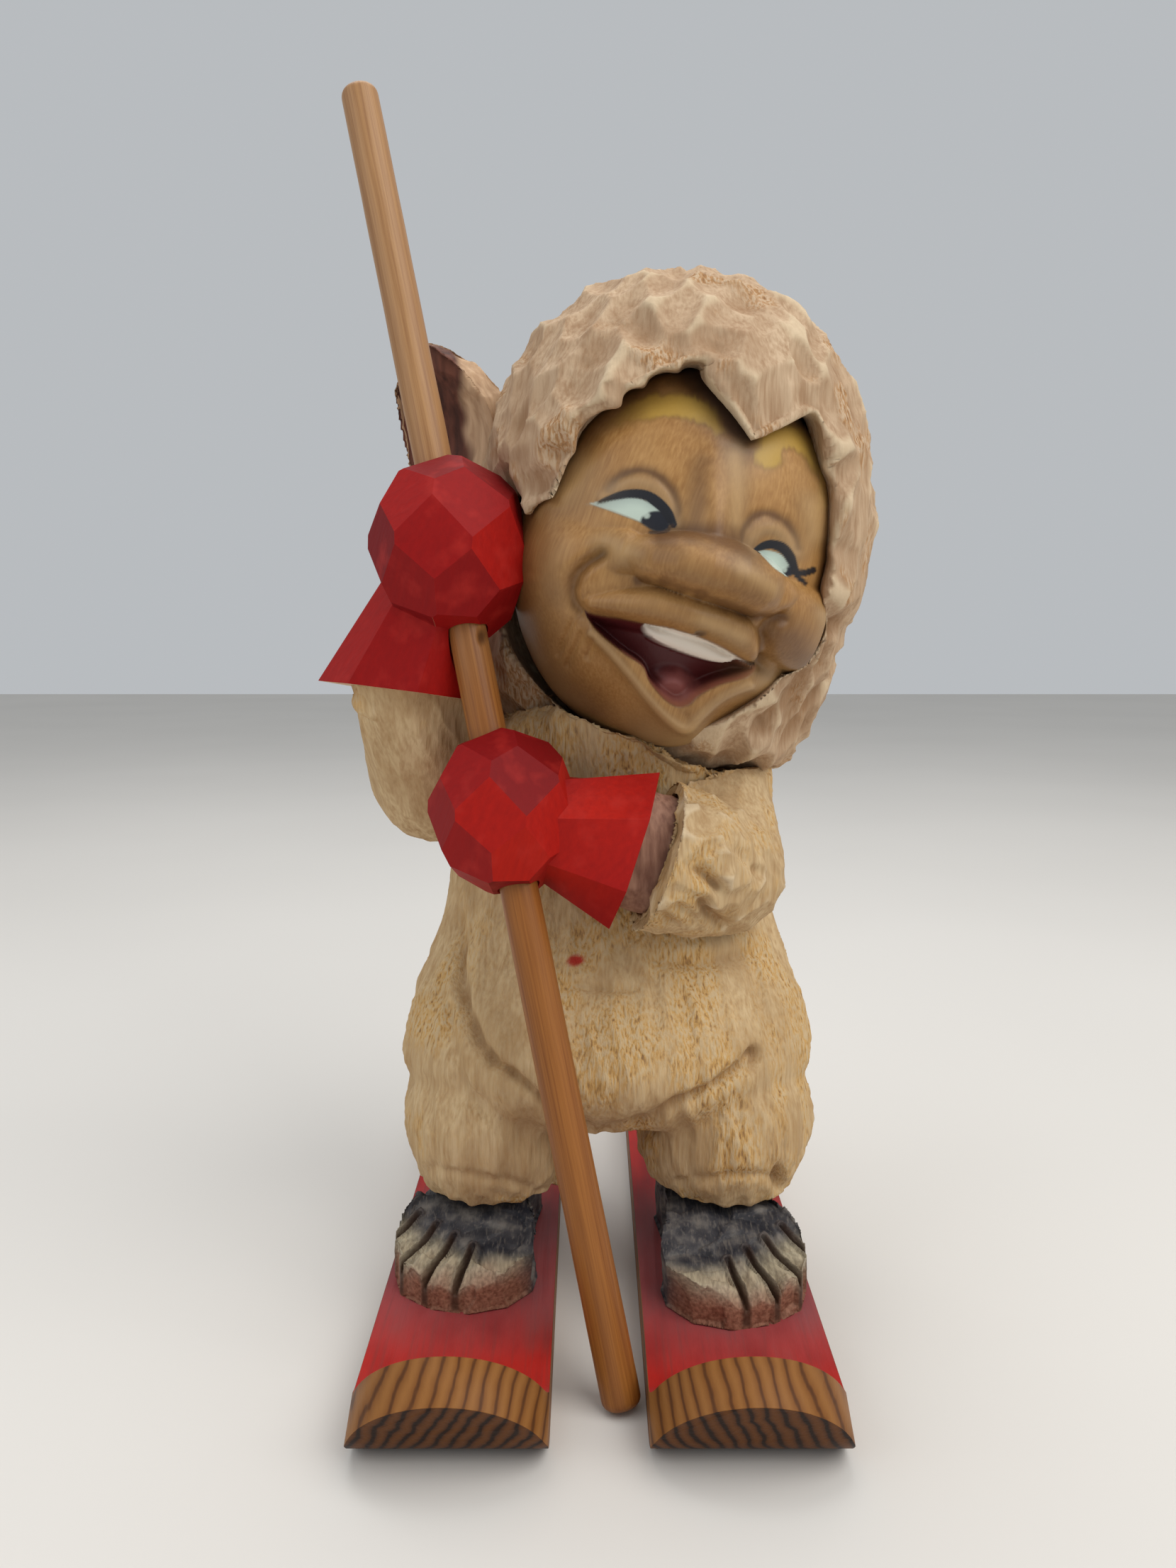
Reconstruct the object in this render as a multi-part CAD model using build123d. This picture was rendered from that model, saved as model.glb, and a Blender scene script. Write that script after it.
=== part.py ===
from build123d import *
import math
import os

# Carved wooden troll child on two skis, holding one long pole in both mittens.
# Millimetres, +Z up, the troll looks along -Y, right and left are the troll's own sides.

# Fits
glue_gap = 0.15
peg_gap = 0.1
pole_gap = 0.35
end_gap = 0.5

# Pole, a plain dowel that stands on the floor between the skis
pole_diameter = 10.0
pole_round = 2.4
pole_foot = Vector(6.0, -69.0, 0.0)
pole_top = Vector(-63.0, 2.0, 327.0)

# Skis
ski_width = 45.5
ski_thick = 11.3
ski_gap = 23.0
ski_length = 197.0
tip_bend = 18.0
tip_angle = 62.0
tip_reach = 14.0
tip_shoulder = 4.0

# Feet
foot_length = 66.0
foot_width = 39.0
heel_width = 29.0
toe_height = 11.0
toe_count = 5
big_toe_share = 0.42
toe_notch = 5.0
toe_notch_rise = 6.0
toe_notch_deep = 3.2
toe_notch_slope = 18.0
toe_step_back = 3.2
toe_fan = 9.0
foot_splay = 7.0
ankle_share = 0.15
right_foot_at = (-34.0, -14.0)
left_foot_at = (34.5, -21.0)

# Torso: trousers and trunk in one block
hem_height = 29.0
crotch_height = 50.0
hip_height = 72.0
waist_height = 112.0
chest_height = 140.0
collar_height = 168.0
hip_width = 121.0
hip_depth = 86.0
waist_width = 96.0
waist_depth = 66.0
chest_width = 90.0
chest_depth = 62.0
collar_width = 62.0
collar_depth = 60.0
body_x = 3.0
body_y = 3.0
chest_back = 6.0
leg_width = 48.0
leg_depth = 56.0
leg_gap = 18.0

# Head: one varnished face block in a hollow hood
head_at = Vector(19.5, -9.0, 206.5)
head_roll = 18.0
head_yaw = 8.0
face_radius = 40.5
face_half_height = 50.0
rim_gap = 1.8
hood_at = Vector(21.5, 3.0, 228.0)
hood_radius = 53.5
hood_rise = 55.0
hood_drop = 84.0
hood_roll = -6.5
opening_width = 72.0
opening_height = 93.0
lock_width = 28.0
lock_length = 19.0
lock_x = 3.0
lock_root = 8.0
lock_shoulder = 6.0
cape_top = 196.0
cape_fold = 182.0
cape_low = 166.0
cape_end = 150.0
cape_width = 98.0
cape_depth = 62.0
cape_x = 17.0
cape_back = 3.0

# Face features, in the head's own axes
nose_half_width = 19.0
nose_radius = 10.0
nose_z = -5.5
bridge_radius = 6.5
bridge_z = 16.0
cheek_radius = 14.5
cheek_x = 24.0
cheek_z = -9.0
lip_radius = 9.0
lip_z = -13.0
chin_radius = 12.5
chin_z = -34.0
eye_radius = 10.0
eye_x = 19.0
eye_z = 3.5
eye_bulge = 1.6
lid_depth = 3.0
mouth_half_width = 23.0
mouth_top_z = -19.0
mouth_drop = 17.0
mouth_depth = 13.0
teeth_height = 5.0
teeth_depth = 3.5

# Ear, one pointed leaf with a scooped inner side
ear_height = 50.0
ear_width = 30.0
ear_thick = 12.0
ear_scoop = 24.0
ear_scoop_deep = 6.0
ear_at = Vector(-42.0, 13.0, 243.0)
ear_turn = -30.0
ear_lean = -14.0

# Arms and mittens
right_fist_at = 0.632
left_fist_at = 0.432
fist_half_width = 20.5
fist_half_depth = 19.5
fist_half_height = 23.0
fist_facets = 30
fist_trim = 0.955
left_fist_share = 0.9
cuff_sides = 7
cuff_neck = 13.0
cuff_rim_tall = 21.5
cuff_rim_deep = 16.5
right_wrist_tall = 8.5
left_wrist_tall = 16.0
wrist_deep = 9.5
wrist_length = 26.0
wrist_bite = 6.0
right_sleeve_end = Vector(-54.0, -18.0, 169.0)
left_sleeve_end = Vector(18.5, -33.0, 128.0)
right_cuff_show = 1.5
left_cuff_show = 10.0
right_cuff_tilt = -14.0
right_cuff_lean = -16.0
left_cuff_tilt = -20.0
left_cuff_lean = 0.0
right_elbow_at = Vector(-44.5, -1.0, 146.0)
right_elbow_radius = 20.0
right_forearm_radius = 14.5
right_forearm_end = Vector(-52.0, -20.5, 177.0)
right_shoulder_at = Vector(-31.0, 4.0, 148.0)
left_elbow_at = Vector(32.5, -16.0, 122.0)
left_elbow_radius = 19.0
left_forearm_radius = 20.5
left_shoulder_at = Vector(34.0, 0.0, 142.0)
shoulder_radius = 16.0

# Dowels and screws
dowel_diameter = 8.0
dowel_bevel = 0.8
neck_dowel_diameter = 14.0
neck_dowel_length = 44.0
shoulder_dowel_length = 26.0
ankle_dowel_length = 26.0
ear_dowel_diameter = 5.0
ear_dowel_length = 16.0
screw_diameter = 4.0
screw_head = 8.0
screw_length = 19.0
screw_pitch = 32.0
screw_sink = 0.6

# Values that follow from the sizes above
oval_pull = 4 * (math.sqrt(2) - 1) / 3
pole_axis = (pole_top - pole_foot).normalized()
pole_length = (pole_top - pole_foot).length
pole_radius = pole_diameter / 2
ski_x = (ski_gap + ski_width) / 2
ski_front = tip_bend * math.sin(math.radians(tip_angle)) + tip_reach * math.cos(math.radians(tip_angle))
bend_y = ski_front - ski_length / 2
head_place = Pos(*head_at) * Rot(0, head_roll, 0) * Rot(0, 0, head_yaw)
hood_place = Pos(*hood_at) * Rot(0, hood_roll, 0)
ear_place = Pos(*ear_at) * Rot(0, ear_lean, 0) * Rot(0, 0, ear_turn)
right_fist = pole_foot + pole_axis * (pole_length * right_fist_at)
left_fist = pole_foot + pole_axis * (pole_length * left_fist_at)


def along(start, direction):
    """Plane at a point whose normal runs along a direction and whose x axis stays level."""
    level = Vector(0, 0, 1).cross(direction)
    if level.length < 1e-6:
        level = Vector(1, 0, 0)
    return Plane(origin=start, x_dir=level.normalized(), z_dir=direction.normalized())


def egg(radius, rise, drop):
    """Solid of revolution with its own rise above and drop below the middle."""
    pull = radius * oval_pull
    upper = Bezier((radius, 0), (radius, rise * oval_pull), (pull, rise), (0, rise))
    lower = Bezier((0, -drop), (pull, -drop), (radius, -drop * oval_pull), (radius, 0))
    axis_line = Line((0, rise), (0, -drop))
    return revolve(Plane.XZ * make_face([lower, upper, axis_line]), Axis.Z)


def peg(start, direction, diameter, length, bevel=dowel_bevel):
    """Round dowel with both ends bevelled."""
    rod = extrude(along(start, direction) * Circle(diameter / 2), length)
    ends = rod.edges().filter_by(GeomType.CIRCLE)
    return chamfer(ends, bevel)


def peg_hole(start, direction, diameter, length):
    """Blind hole for the same dowel with room all round."""
    unit = direction.normalized()
    return extrude(along(start - unit * end_gap, unit) * Circle(diameter / 2 + peg_gap), length + 2 * end_gap)


def limb(start, start_radius, end, end_radius):
    """Two balls joined by the cone that touches both."""
    span = (end - start).length
    lean = (start_radius - end_radius) / span
    rise = math.sqrt(1 - lean * lean)
    first = (start_radius * rise, start_radius * lean)
    last = (end_radius * rise, span + end_radius * lean)
    back = (0, -start_radius)
    front = (0, span + end_radius)
    turn = math.radians((math.degrees(math.asin(lean)) - 90) / 2)
    low = (start_radius * math.cos(turn), start_radius * math.sin(turn))
    turn = math.radians((math.degrees(math.asin(lean)) + 90) / 2)
    high = (end_radius * math.cos(turn), span + end_radius * math.sin(turn))
    rim = [
        ThreePointArc(back, low, first),
        Line(first, last),
        ThreePointArc(last, high, front),
        Line(front, back),
    ]
    solid = revolve(Plane.XZ * make_face(rim), Axis.Z)
    return along(start, end - start).location * solid


# Pole


def pole_end_height():
    """Height of the pole's axis end when its rounded rim just touches the floor."""
    lean = math.acos(pole_axis.Z)
    return pole_round * (1 - math.cos(lean)) + (pole_radius - pole_round) * math.sin(lean)


def make_pole():
    start = pole_foot + pole_axis * (pole_end_height() / pole_axis.Z)
    rod = extrude(along(start, pole_axis) * Circle(pole_radius), pole_length)
    return fillet(rod.edges().filter_by(GeomType.CIRCLE), pole_round)


def pole_bore():
    """Through hole for the pole, longer than the pole at both ends."""
    start = pole_foot - pole_axis * pole_length
    return extrude(along(start, pole_axis) * Circle(pole_radius + pole_gap), 3 * pole_length)


# Skis


def ski_side():
    """Side outline of the bent board, drawn in the YZ plane with the tip towards -Y."""
    turn = math.radians(tip_angle)
    half = math.radians(tip_angle / 2)
    inner = tip_bend - ski_thick
    run = (-math.cos(turn) * tip_reach, math.sin(turn) * tip_reach)
    low_mid = (bend_y - tip_bend * math.sin(half), tip_bend * (1 - math.cos(half)))
    low_end = (bend_y - tip_bend * math.sin(turn), tip_bend * (1 - math.cos(turn)))
    top_mid = (bend_y - inner * math.sin(half), tip_bend - inner * math.cos(half))
    top_end = (bend_y - inner * math.sin(turn), tip_bend - inner * math.cos(turn))
    low_tip = (low_end[0] + run[0], low_end[1] + run[1])
    top_tip = (top_end[0] + run[0], top_end[1] + run[1])
    tail = ski_length / 2
    return make_face(
        [
            Line((tail, 0), (bend_y, 0)),
            ThreePointArc((bend_y, 0), low_mid, low_end),
            Line(low_end, low_tip),
            Line(low_tip, top_tip),
            Line(top_tip, top_end),
            ThreePointArc(top_end, top_mid, (bend_y, ski_thick)),
            Line((bend_y, ski_thick), (tail, ski_thick)),
            Line((tail, ski_thick), (tail, 0)),
        ]
    )


def tip_corners():
    """Waste outside the rounded tip, cut square to the raised board."""
    turn = math.radians(tip_angle)
    base = Vector(0, bend_y - tip_bend * math.sin(turn), tip_bend * (1 - math.cos(turn)))
    up_tip = Vector(0, -math.cos(turn), math.sin(turn))
    board = Plane(origin=base, x_dir=Vector(1, 0, 0), z_dir=Vector(0, -math.sin(turn), -math.cos(turn)))
    flip = 1 if board.y_dir.dot(up_tip) > 0 else -1
    half = ski_width / 2
    low = -tip_shoulder * flip
    high = tip_reach * flip
    far = (tip_reach + ski_width) * flip
    rim = [
        Line((-half - 1, low), (-half, low)),
        ThreePointArc((-half, low), (0, high), (half, low)),
        Line((half, low), (half + 1, low)),
        Line((half + 1, low), (half + 1, far)),
        Line((half + 1, far), (-half - 1, far)),
        Line((-half - 1, far), (-half - 1, low)),
    ]
    return extrude(board * make_face(rim), 3 * ski_thick, both=True)


def screw_places(foot_at):
    """The two screw centres under one foot, clear of the ankle dowel between them."""
    middle = foot_at[1] + foot_length * ankle_share
    return [(foot_at[0], middle + side * screw_pitch / 2) for side in (-1, 1)]


def screw(place, grow=0.0):
    """Countersunk wood screw pointing up, its head just under the ski's sole."""
    cone = (screw_head - screw_diameter) / 2
    root = screw_diameter / 2 + grow
    base = 0.0 if grow else screw_sink
    rim = [
        (0, base),
        (screw_head / 2 + grow, base),
        (screw_head / 2 + grow, screw_sink),
        (root, screw_sink + cone),
        (root, screw_length - screw_diameter),
        (0, screw_length + grow),
    ]
    return Pos(place[0], place[1], 0) * revolve(Plane.XZ * Polygon(*rim, align=None), Axis.Z)


def make_screws(foot_at):
    return Compound([screw(place).solid() for place in screw_places(foot_at)])


def make_ski(side, foot_at):
    board = extrude(Plane.YZ * ski_side(), ski_width / 2, both=True)
    board = board - tip_corners()
    board = Pos(side * ski_x, 0, 0) * board
    for place in screw_places(foot_at):
        board = board - screw(place, peg_gap)
    return board


# Feet


def sole_outline(side):
    """Plan outline of one bare foot with flat knife cuts, heel towards +Y, longest at the big toe."""
    half = foot_length / 2
    ball = foot_width / 2
    heel = heel_width / 2
    rim = [
        (-heel * 0.6, half),
        (heel * 0.6, half),
        (heel, half - 7),
        (heel, 4),
        (ball, -half * 0.40),
        (ball, -half * 0.62),
        (ball * 0.72, -half * 0.88),
        (ball * 0.25, -half),
        (-ball * 0.30, -half * 0.97),
        (-ball * 0.78, -half * 0.80),
        (-ball, -half * 0.52),
        (-ball, -half * 0.34),
        (-heel, 4),
        (-heel, half - 7),
    ]
    return Polygon(*[(-side * x, y) for x, y in rim], align=None)


def foot_height():
    return hem_height - ski_thick - 2 * glue_gap


def instep_waste():
    """Wedge above the sloping instep, drawn from the side."""
    half = foot_length / 2
    top = foot_height()
    rim = [
        (-half - 1, toe_height * 0.55),
        (-half * 0.86, toe_height),
        (-half * 0.55, toe_height + 1.5),
        (-half * 0.12, top),
        (-half * 0.12, top + 5),
        (-half - 1, top + 5),
    ]
    return extrude(Plane.YZ * Polygon(*rim, align=None), foot_width, both=True)


def toe_notches(side):
    """V cuts that part a wide big toe from the smaller ones, spread like a fan and stepping back."""
    cuts = []
    half = foot_length / 2
    for index in range(toe_count - 1):
        share = big_toe_share + index * (1 - big_toe_share) / (toe_count - 1)
        back = index * toe_step_back
        brim = toe_notch / 2
        cut = Polygon((-brim, toe_notch_rise), (brim, toe_notch_rise), (0, -toe_notch_deep), align=None)
        bar = extrude(Plane.XZ * cut, half * 0.55, dir=(0, -1, 0))
        spot = Pos(side * (share - 0.5) * foot_width, back - half * 0.58, toe_height + 1.2 + back * 0.3)
        cuts.append(spot * Rot(0, 0, side * toe_fan * (index + 1)) * Rot(toe_notch_slope, 0, 0) * bar)
    return cuts


def make_foot(side, foot_at):
    body = extrude(sole_outline(side), foot_height(), dir=(0, 0, 1)) - instep_waste()
    for cut in toe_notches(side):
        body = body - cut
    place = Pos(foot_at[0], foot_at[1], ski_thick + glue_gap) * Rot(0, 0, side * foot_splay)
    body = place * body
    for spot in screw_places(foot_at):
        body = body - screw(spot, peg_gap)
    return body - ankle_hole(foot_at)


def ankle_start(foot_at):
    return Vector(foot_at[0], foot_at[1] + foot_length * ankle_share, hem_height - ankle_dowel_length * 0.38)


def ankle_hole(foot_at):
    return peg_hole(ankle_start(foot_at), Vector(0, 0, 1), dowel_diameter, ankle_dowel_length)


def make_ankle_dowel(foot_at):
    return peg(ankle_start(foot_at), Vector(0, 0, 1), dowel_diameter, ankle_dowel_length)


# Torso


def ring(height, width, depth, shift_x=0.0, shift_y=0.0, grow=0.0):
    return Pos(body_x + shift_x, body_y + shift_y, height) * Ellipse(width / 2 + grow, depth / 2 + grow)


def trunk(grow=0.0):
    """Belly, chest and collar as one smooth body."""
    rings = [
        ring(crotch_height - grow, hip_width * 0.86, hip_depth * 0.72, grow=grow),
        ring(hip_height, hip_width, hip_depth, grow=grow),
        ring(waist_height, waist_width, waist_depth, 0, chest_back, grow),
        ring(chest_height, chest_width, chest_depth, 0, chest_back, grow),
        ring(collar_height + grow, collar_width, collar_depth, head_at.X * 0.4, grow=grow),
    ]
    return loft(rings)


def leg(side):
    """One trouser leg from the hem up into the hip."""
    middle = side * (leg_gap + leg_width) / 2
    rings = [
        ring(hem_height, leg_width * 0.9, leg_depth * 0.9, middle, -5),
        ring(hem_height + 5, leg_width, leg_depth, middle, -5),
        ring(crotch_height + 12, leg_width * 1.02, leg_depth * 1.08, middle, -3),
        ring(hip_height, leg_width * 0.8, leg_depth * 0.9, middle * 0.85, 0),
    ]
    return loft(rings)


def make_torso():
    body = trunk() + leg(-1) + leg(1)
    body = body - hood_form(glue_gap)
    body = body - face_form(rim_gap)
    body = body - neck_hole() - wrist(1, peg_gap)
    for hole in (shoulder_hole(-1), shoulder_hole(1), ankle_hole(right_foot_at), ankle_hole(left_foot_at)):
        body = body - hole
    return body.solids().sort_by(SortBy.VOLUME)[-1]


# Head


def face_form(grow=0.0):
    size = face_half_height + grow
    return head_place * egg(face_radius + grow, size, size)


def cape(grow=0.0):
    """Wide fall of the hood round the neck, seated in the top of the trunk."""
    rings = [
        ring(cape_end - grow, cape_width * 0.64, cape_depth * 0.75, cape_x, cape_back, grow),
        ring(cape_low, cape_width * 0.95, cape_depth * 0.95, cape_x, cape_back, grow),
        ring(cape_fold, cape_width, cape_depth, cape_x, cape_back, grow),
        ring(cape_top + grow, cape_width * 0.84, cape_depth * 0.8, cape_x, cape_back, grow),
    ]
    return loft(rings)


def hood_form(grow=0.0):
    return hood_place * egg(hood_radius + grow, hood_rise + grow, hood_drop + grow) + cape(grow)


def mouth_outline(top, drop):
    """Laughing mouth seen from the front: sagging upper edge, deep lower bow."""
    wide = mouth_half_width
    return make_face(
        [
            ThreePointArc((-wide, top + 2.5), (0, top - 1.5), (wide, top + 2.5)),
            ThreePointArc((wide, top + 2.5), (0, top - drop), (-wide, top + 2.5)),
        ]
    )


def mouth_cut():
    """Shallow cut that leaves the teeth, then the deep hollow below them."""
    front = Plane(origin=(0, -face_radius * 1.5, 0), x_dir=(1, 0, 0), z_dir=(0, 1, 0))
    front = Plane(origin=front.origin, x_dir=(-1, 0, 0), z_dir=(0, 1, 0))
    skin = face_radius * 0.5
    outline = mouth_outline(mouth_top_z, mouth_drop)
    shallow = extrude(front * outline, skin + teeth_depth + 6)
    hollow = extrude(front * mouth_outline(mouth_top_z - teeth_height, mouth_drop - teeth_height), skin + mouth_depth + 6)
    return shallow + hollow


def eye_spot(side, out):
    """Point at an eye, a distance outside the plain egg."""
    deep = face_radius * math.sqrt(1 - (eye_x / face_radius) ** 2 - (eye_z / face_half_height) ** 2)
    unit = Vector(side * eye_x, -deep, eye_z).normalized()
    return Vector(side * eye_x, -deep, eye_z) + unit * out


def cheek(side, grow=0.0):
    return Pos(side * cheek_x, -face_radius * 0.5, cheek_z) * Sphere(cheek_radius + grow)


def make_face_block():
    """Egg with nose, cheeks, lip and chin carved on, eyes set in hollows, mouth cut open."""
    body = egg(face_radius, face_half_height, face_half_height)
    nose = Pos(0, -face_radius + 2, nose_z) * Rot(0, 90, 0) * egg(nose_radius, nose_half_width, nose_half_width)
    ball = Vector(0, -face_radius + 1, nose_z + 3)
    brow = Vector(0, -face_radius * 0.87, bridge_z)
    body = body + nose + limb(brow, bridge_radius * 0.8, ball, bridge_radius)
    for side in (-1, 1):
        body = body + cheek(side)
    lip = Pos(0, -face_radius * 0.78, lip_z) * Rot(0, 90, 0) * egg(lip_radius, mouth_half_width, mouth_half_width)
    body = body + lip + Pos(0, -face_radius * 0.45, chin_z) * Sphere(chin_radius)
    body = body - mouth_cut()
    for side in (-1, 1):
        body = body - Pos(*eye_spot(side, eye_radius - lid_depth)) * Sphere(eye_radius)
        body = body + Pos(*eye_spot(side, eye_bulge - eye_radius)) * Sphere(eye_radius)
    return head_place * body.solids().sort_by(SortBy.VOLUME)[-1] - neck_hole()


def face_opening():
    """Everything in front of the face, less the forelock that hangs over the brow."""
    wide = opening_width / 2
    tall = opening_height / 2
    front = Plane(origin=(0, 0, 0), x_dir=(1, 0, 0), z_dir=(0, -1, 0))
    window = extrude(front * Ellipse(tall, wide, rotation=90), hood_radius * 2)
    tongue = Polygon(
        (lock_x - lock_width / 2, tall + lock_root),
        (lock_x + lock_width / 2, tall + lock_root),
        (lock_x + lock_width / 2, tall - lock_shoulder),
        (lock_x, tall - lock_length),
        (lock_x - lock_width / 2, tall - lock_shoulder),
        align=None,
    )
    return head_place * (window - extrude(front * tongue, hood_radius * 3, dir=(0, -1, 0)))


def make_hood():
    cap = hood_form() - (face_form(rim_gap) + face_opening())
    cheeks = [head_place * cheek(side, rim_gap) for side in (-1, 1)]
    for hole in (neck_hole(), ear_hole(), mitten_room(), *cheeks):
        cap = cap - hole
    return cap.solids().sort_by(SortBy.VOLUME)[-1]


def mitten_room():
    """Hollow in the hood's edge that clears the raised mitten."""
    room = egg(fist_half_width + 2.2, fist_half_height + 2.2, fist_half_height + 2.2)
    return along(right_fist, pole_axis).location * room


def neck_start():
    return Vector(head_at.X * 0.6, body_y, cape_end - neck_dowel_length * 0.4)


def neck_hole():
    return peg_hole(neck_start(), Vector(0, 0, 1), neck_dowel_diameter, neck_dowel_length)


def make_neck_dowel():
    return peg(neck_start(), Vector(0, 0, 1), neck_dowel_diameter, neck_dowel_length)


# Ear


def ear_form():
    """Pointed leaf with a domed back and a scoop on the side that looks forward."""
    half = ear_height / 2
    wide = ear_width / 2
    leaf = make_face(
        [
            ThreePointArc((0, -half), (-wide, -half * 0.1), (0, half)),
            ThreePointArc((0, half), (wide, -half * 0.1), (0, -half)),
        ]
    )
    front = Plane(origin=(0, ear_thick / 2, 0), x_dir=(1, 0, 0), z_dir=(0, -1, 0))
    body = extrude(front * leaf, ear_thick)
    body = body & Pos(0, ear_thick / 2 - 1.6 * ear_height, 0) * Sphere(1.6 * ear_height)
    scoop = Pos(-wide * 0.2, -ear_thick / 2 - ear_scoop + ear_scoop_deep, 0) * Sphere(ear_scoop)
    return ear_place * (body - scoop)


def make_ear():
    return (ear_form() - hood_form(glue_gap) - ear_hole()).solids().sort_by(SortBy.VOLUME)[-1]


def ear_axis():
    return (hood_at - ear_at).normalized()


def ear_dowel_start():
    return hood_at - ear_axis() * (hood_radius + ear_dowel_length * 0.3)


def ear_hole():
    return peg_hole(ear_dowel_start(), ear_axis(), ear_dowel_diameter, ear_dowel_length)


def make_ear_dowel():
    return peg(ear_dowel_start(), ear_axis(), ear_dowel_diameter, ear_dowel_length)


# Arms and mittens


def hand_of(side):
    """Fist centre and sleeve end of one arm."""
    if side < 0:
        return right_fist, right_sleeve_end
    return left_fist, left_sleeve_end


def wrist_axis(side):
    centre, sleeve_end = hand_of(side)
    return (sleeve_end - centre).normalized()


def wrist(side, grow=0.0):
    """Oval stub that joins a mitten to its sleeve."""
    unit = wrist_axis(side)
    tall = right_wrist_tall if side < 0 else left_wrist_tall
    extra = end_gap if grow else 0.0
    start = hand_of(side)[1] - unit * (wrist_length - wrist_bite + extra)
    oval = Ellipse(tall + grow, wrist_deep + grow, rotation=90)
    return extrude(along(start, unit) * oval, wrist_length + 2 * extra)


def fist(centre, share):
    """Mitten hand cut all over with a knife: planes spread evenly round an egg."""
    frame = along(centre, pole_axis)
    body = frame.location * Box(3 * fist_half_width, 3 * fist_half_depth, 3 * fist_half_height)
    golden = math.pi * (3 - math.sqrt(5))
    for index in range(fist_facets):
        up = 1 - 2 * (index + 0.5) / fist_facets
        flat = math.sqrt(1 - up * up)
        turn = index * golden
        unit = (flat * math.cos(turn), flat * math.sin(turn), up)
        reach = math.hypot(unit[0] * fist_half_width, unit[1] * fist_half_depth, unit[2] * fist_half_height)
        reach = reach * share * (fist_trim + 0.03 * math.sin(index * 2.3))
        normal = frame.x_dir * unit[0] + frame.y_dir * unit[1] + frame.z_dir * unit[2]
        cut = Plane(origin=centre + normal * reach, z_dir=normal)
        body = split(body, bisect_by=cut, keep=Keep.BOTTOM)
    return body


def cuff_show(side):
    return right_cuff_show if side < 0 else left_cuff_show


def cuff_plane(side, share, extra=0.0):
    """Plane across a cuff, square to the wrist, at a share of its length and a distance further out."""
    centre, sleeve_end = hand_of(side)
    unit = wrist_axis(side)
    length = (sleeve_end - centre).length - cuff_show(side)
    return Plane(origin=centre + unit * (length * share + extra), x_dir=along(centre, unit).x_dir, z_dir=unit)


def cuff_rim(side, extra=0.0):
    """Slanted plane of a cuff's rim."""
    slant = (right_cuff_tilt, right_cuff_lean, 0) if side < 0 else (left_cuff_tilt, left_cuff_lean, 0)
    return cuff_plane(side, 1.0, extra).rotated(slant)


def cuff(side, extra=0.0):
    """Flared cuff with flat sides from the wrist crease to a slanted rim."""
    neck = cuff_plane(side, 0.28)
    rim = cuff_rim(side, extra)
    rings = []
    for plane, tall, deep in ((neck, cuff_neck, cuff_neck * 0.9), (rim, cuff_rim_tall, cuff_rim_deep)):
        turns = [2 * math.pi * (k + 0.25) / cuff_sides for k in range(cuff_sides)]
        points = [((deep + extra) * math.cos(t), (tall + extra) * math.sin(t)) for t in turns]
        rings.append(plane * Polygon(*points, align=None))
    return loft(rings, ruled=True)


def make_mitten(side):
    """Hand and cuff in one piece, bored for the pole and the wrist, eased where it meets the body."""
    share = 1.0 if side < 0 else left_fist_share
    body = fist(hand_of(side)[0], share) + cuff(side)
    body = body - trunk(glue_gap) - face_form(rim_gap)
    return body - pole_bore() - wrist(side, peg_gap)


def sleeve(side):
    """Bent arm from the shoulder over the elbow to a flat end at the cuff or the wrist."""
    if side < 0:
        shoulder, elbow, bulk = right_shoulder_at, right_elbow_at, right_elbow_radius
        end, thick = right_forearm_end, right_forearm_radius
        face = cuff_rim(side, cuff_show(side))
    else:
        shoulder, elbow, bulk = left_shoulder_at, left_elbow_at, left_elbow_radius
        end, thick = left_sleeve_end, left_forearm_radius
        face = cuff_plane(side, 1.0, cuff_show(side))
    arm = limb(shoulder, shoulder_radius, elbow, bulk) + limb(elbow, bulk, end, thick)
    arm = split(arm, bisect_by=face, keep=Keep.TOP)
    arm = arm - trunk(glue_gap) - hood_form(glue_gap) - wrist(side, peg_gap) - cuff(side, glue_gap)
    arm = arm - shoulder_hole(side)
    return arm.solids().sort_by(SortBy.VOLUME)[-1]


def shoulder_axis(side):
    """From inside the trunk out to the elbow."""
    elbow = right_elbow_at if side < 0 else left_elbow_at
    inner = Vector(body_x, body_y, elbow.Z)
    return (elbow - inner).normalized()


def shoulder_start(side):
    elbow = right_elbow_at if side < 0 else left_elbow_at
    return elbow - shoulder_axis(side) * (shoulder_dowel_length * 0.75)


def shoulder_hole(side):
    return peg_hole(shoulder_start(side), shoulder_axis(side), dowel_diameter, shoulder_dowel_length)


def make_shoulder_dowel(side):
    return peg(shoulder_start(side), shoulder_axis(side), dowel_diameter, shoulder_dowel_length)


def make_all():
    return {
        "torso": make_torso(),
        "hood": make_hood(),
        "face": make_face_block(),
        "right_ear": make_ear(),
        "right_sleeve": sleeve(-1),
        "left_sleeve": sleeve(1),
        "right_mitten": make_mitten(-1),
        "left_mitten": make_mitten(1),
        "right_wrist": wrist(-1),
        "left_wrist": wrist(1),
        "pole": make_pole(),
        "right_foot": make_foot(-1, right_foot_at),
        "left_foot": make_foot(1, left_foot_at),
        "right_ski": make_ski(-1, right_foot_at),
        "left_ski": make_ski(1, left_foot_at),
        "right_ski_screws": make_screws(right_foot_at),
        "left_ski_screws": make_screws(left_foot_at),
        "neck_dowel": make_neck_dowel(),
        "right_shoulder_dowel": make_shoulder_dowel(-1),
        "left_shoulder_dowel": make_shoulder_dowel(1),
        "right_ankle_dowel": make_ankle_dowel(right_foot_at),
        "left_ankle_dowel": make_ankle_dowel(left_foot_at),
        "ear_dowel": make_ear_dowel(),
    }


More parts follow.
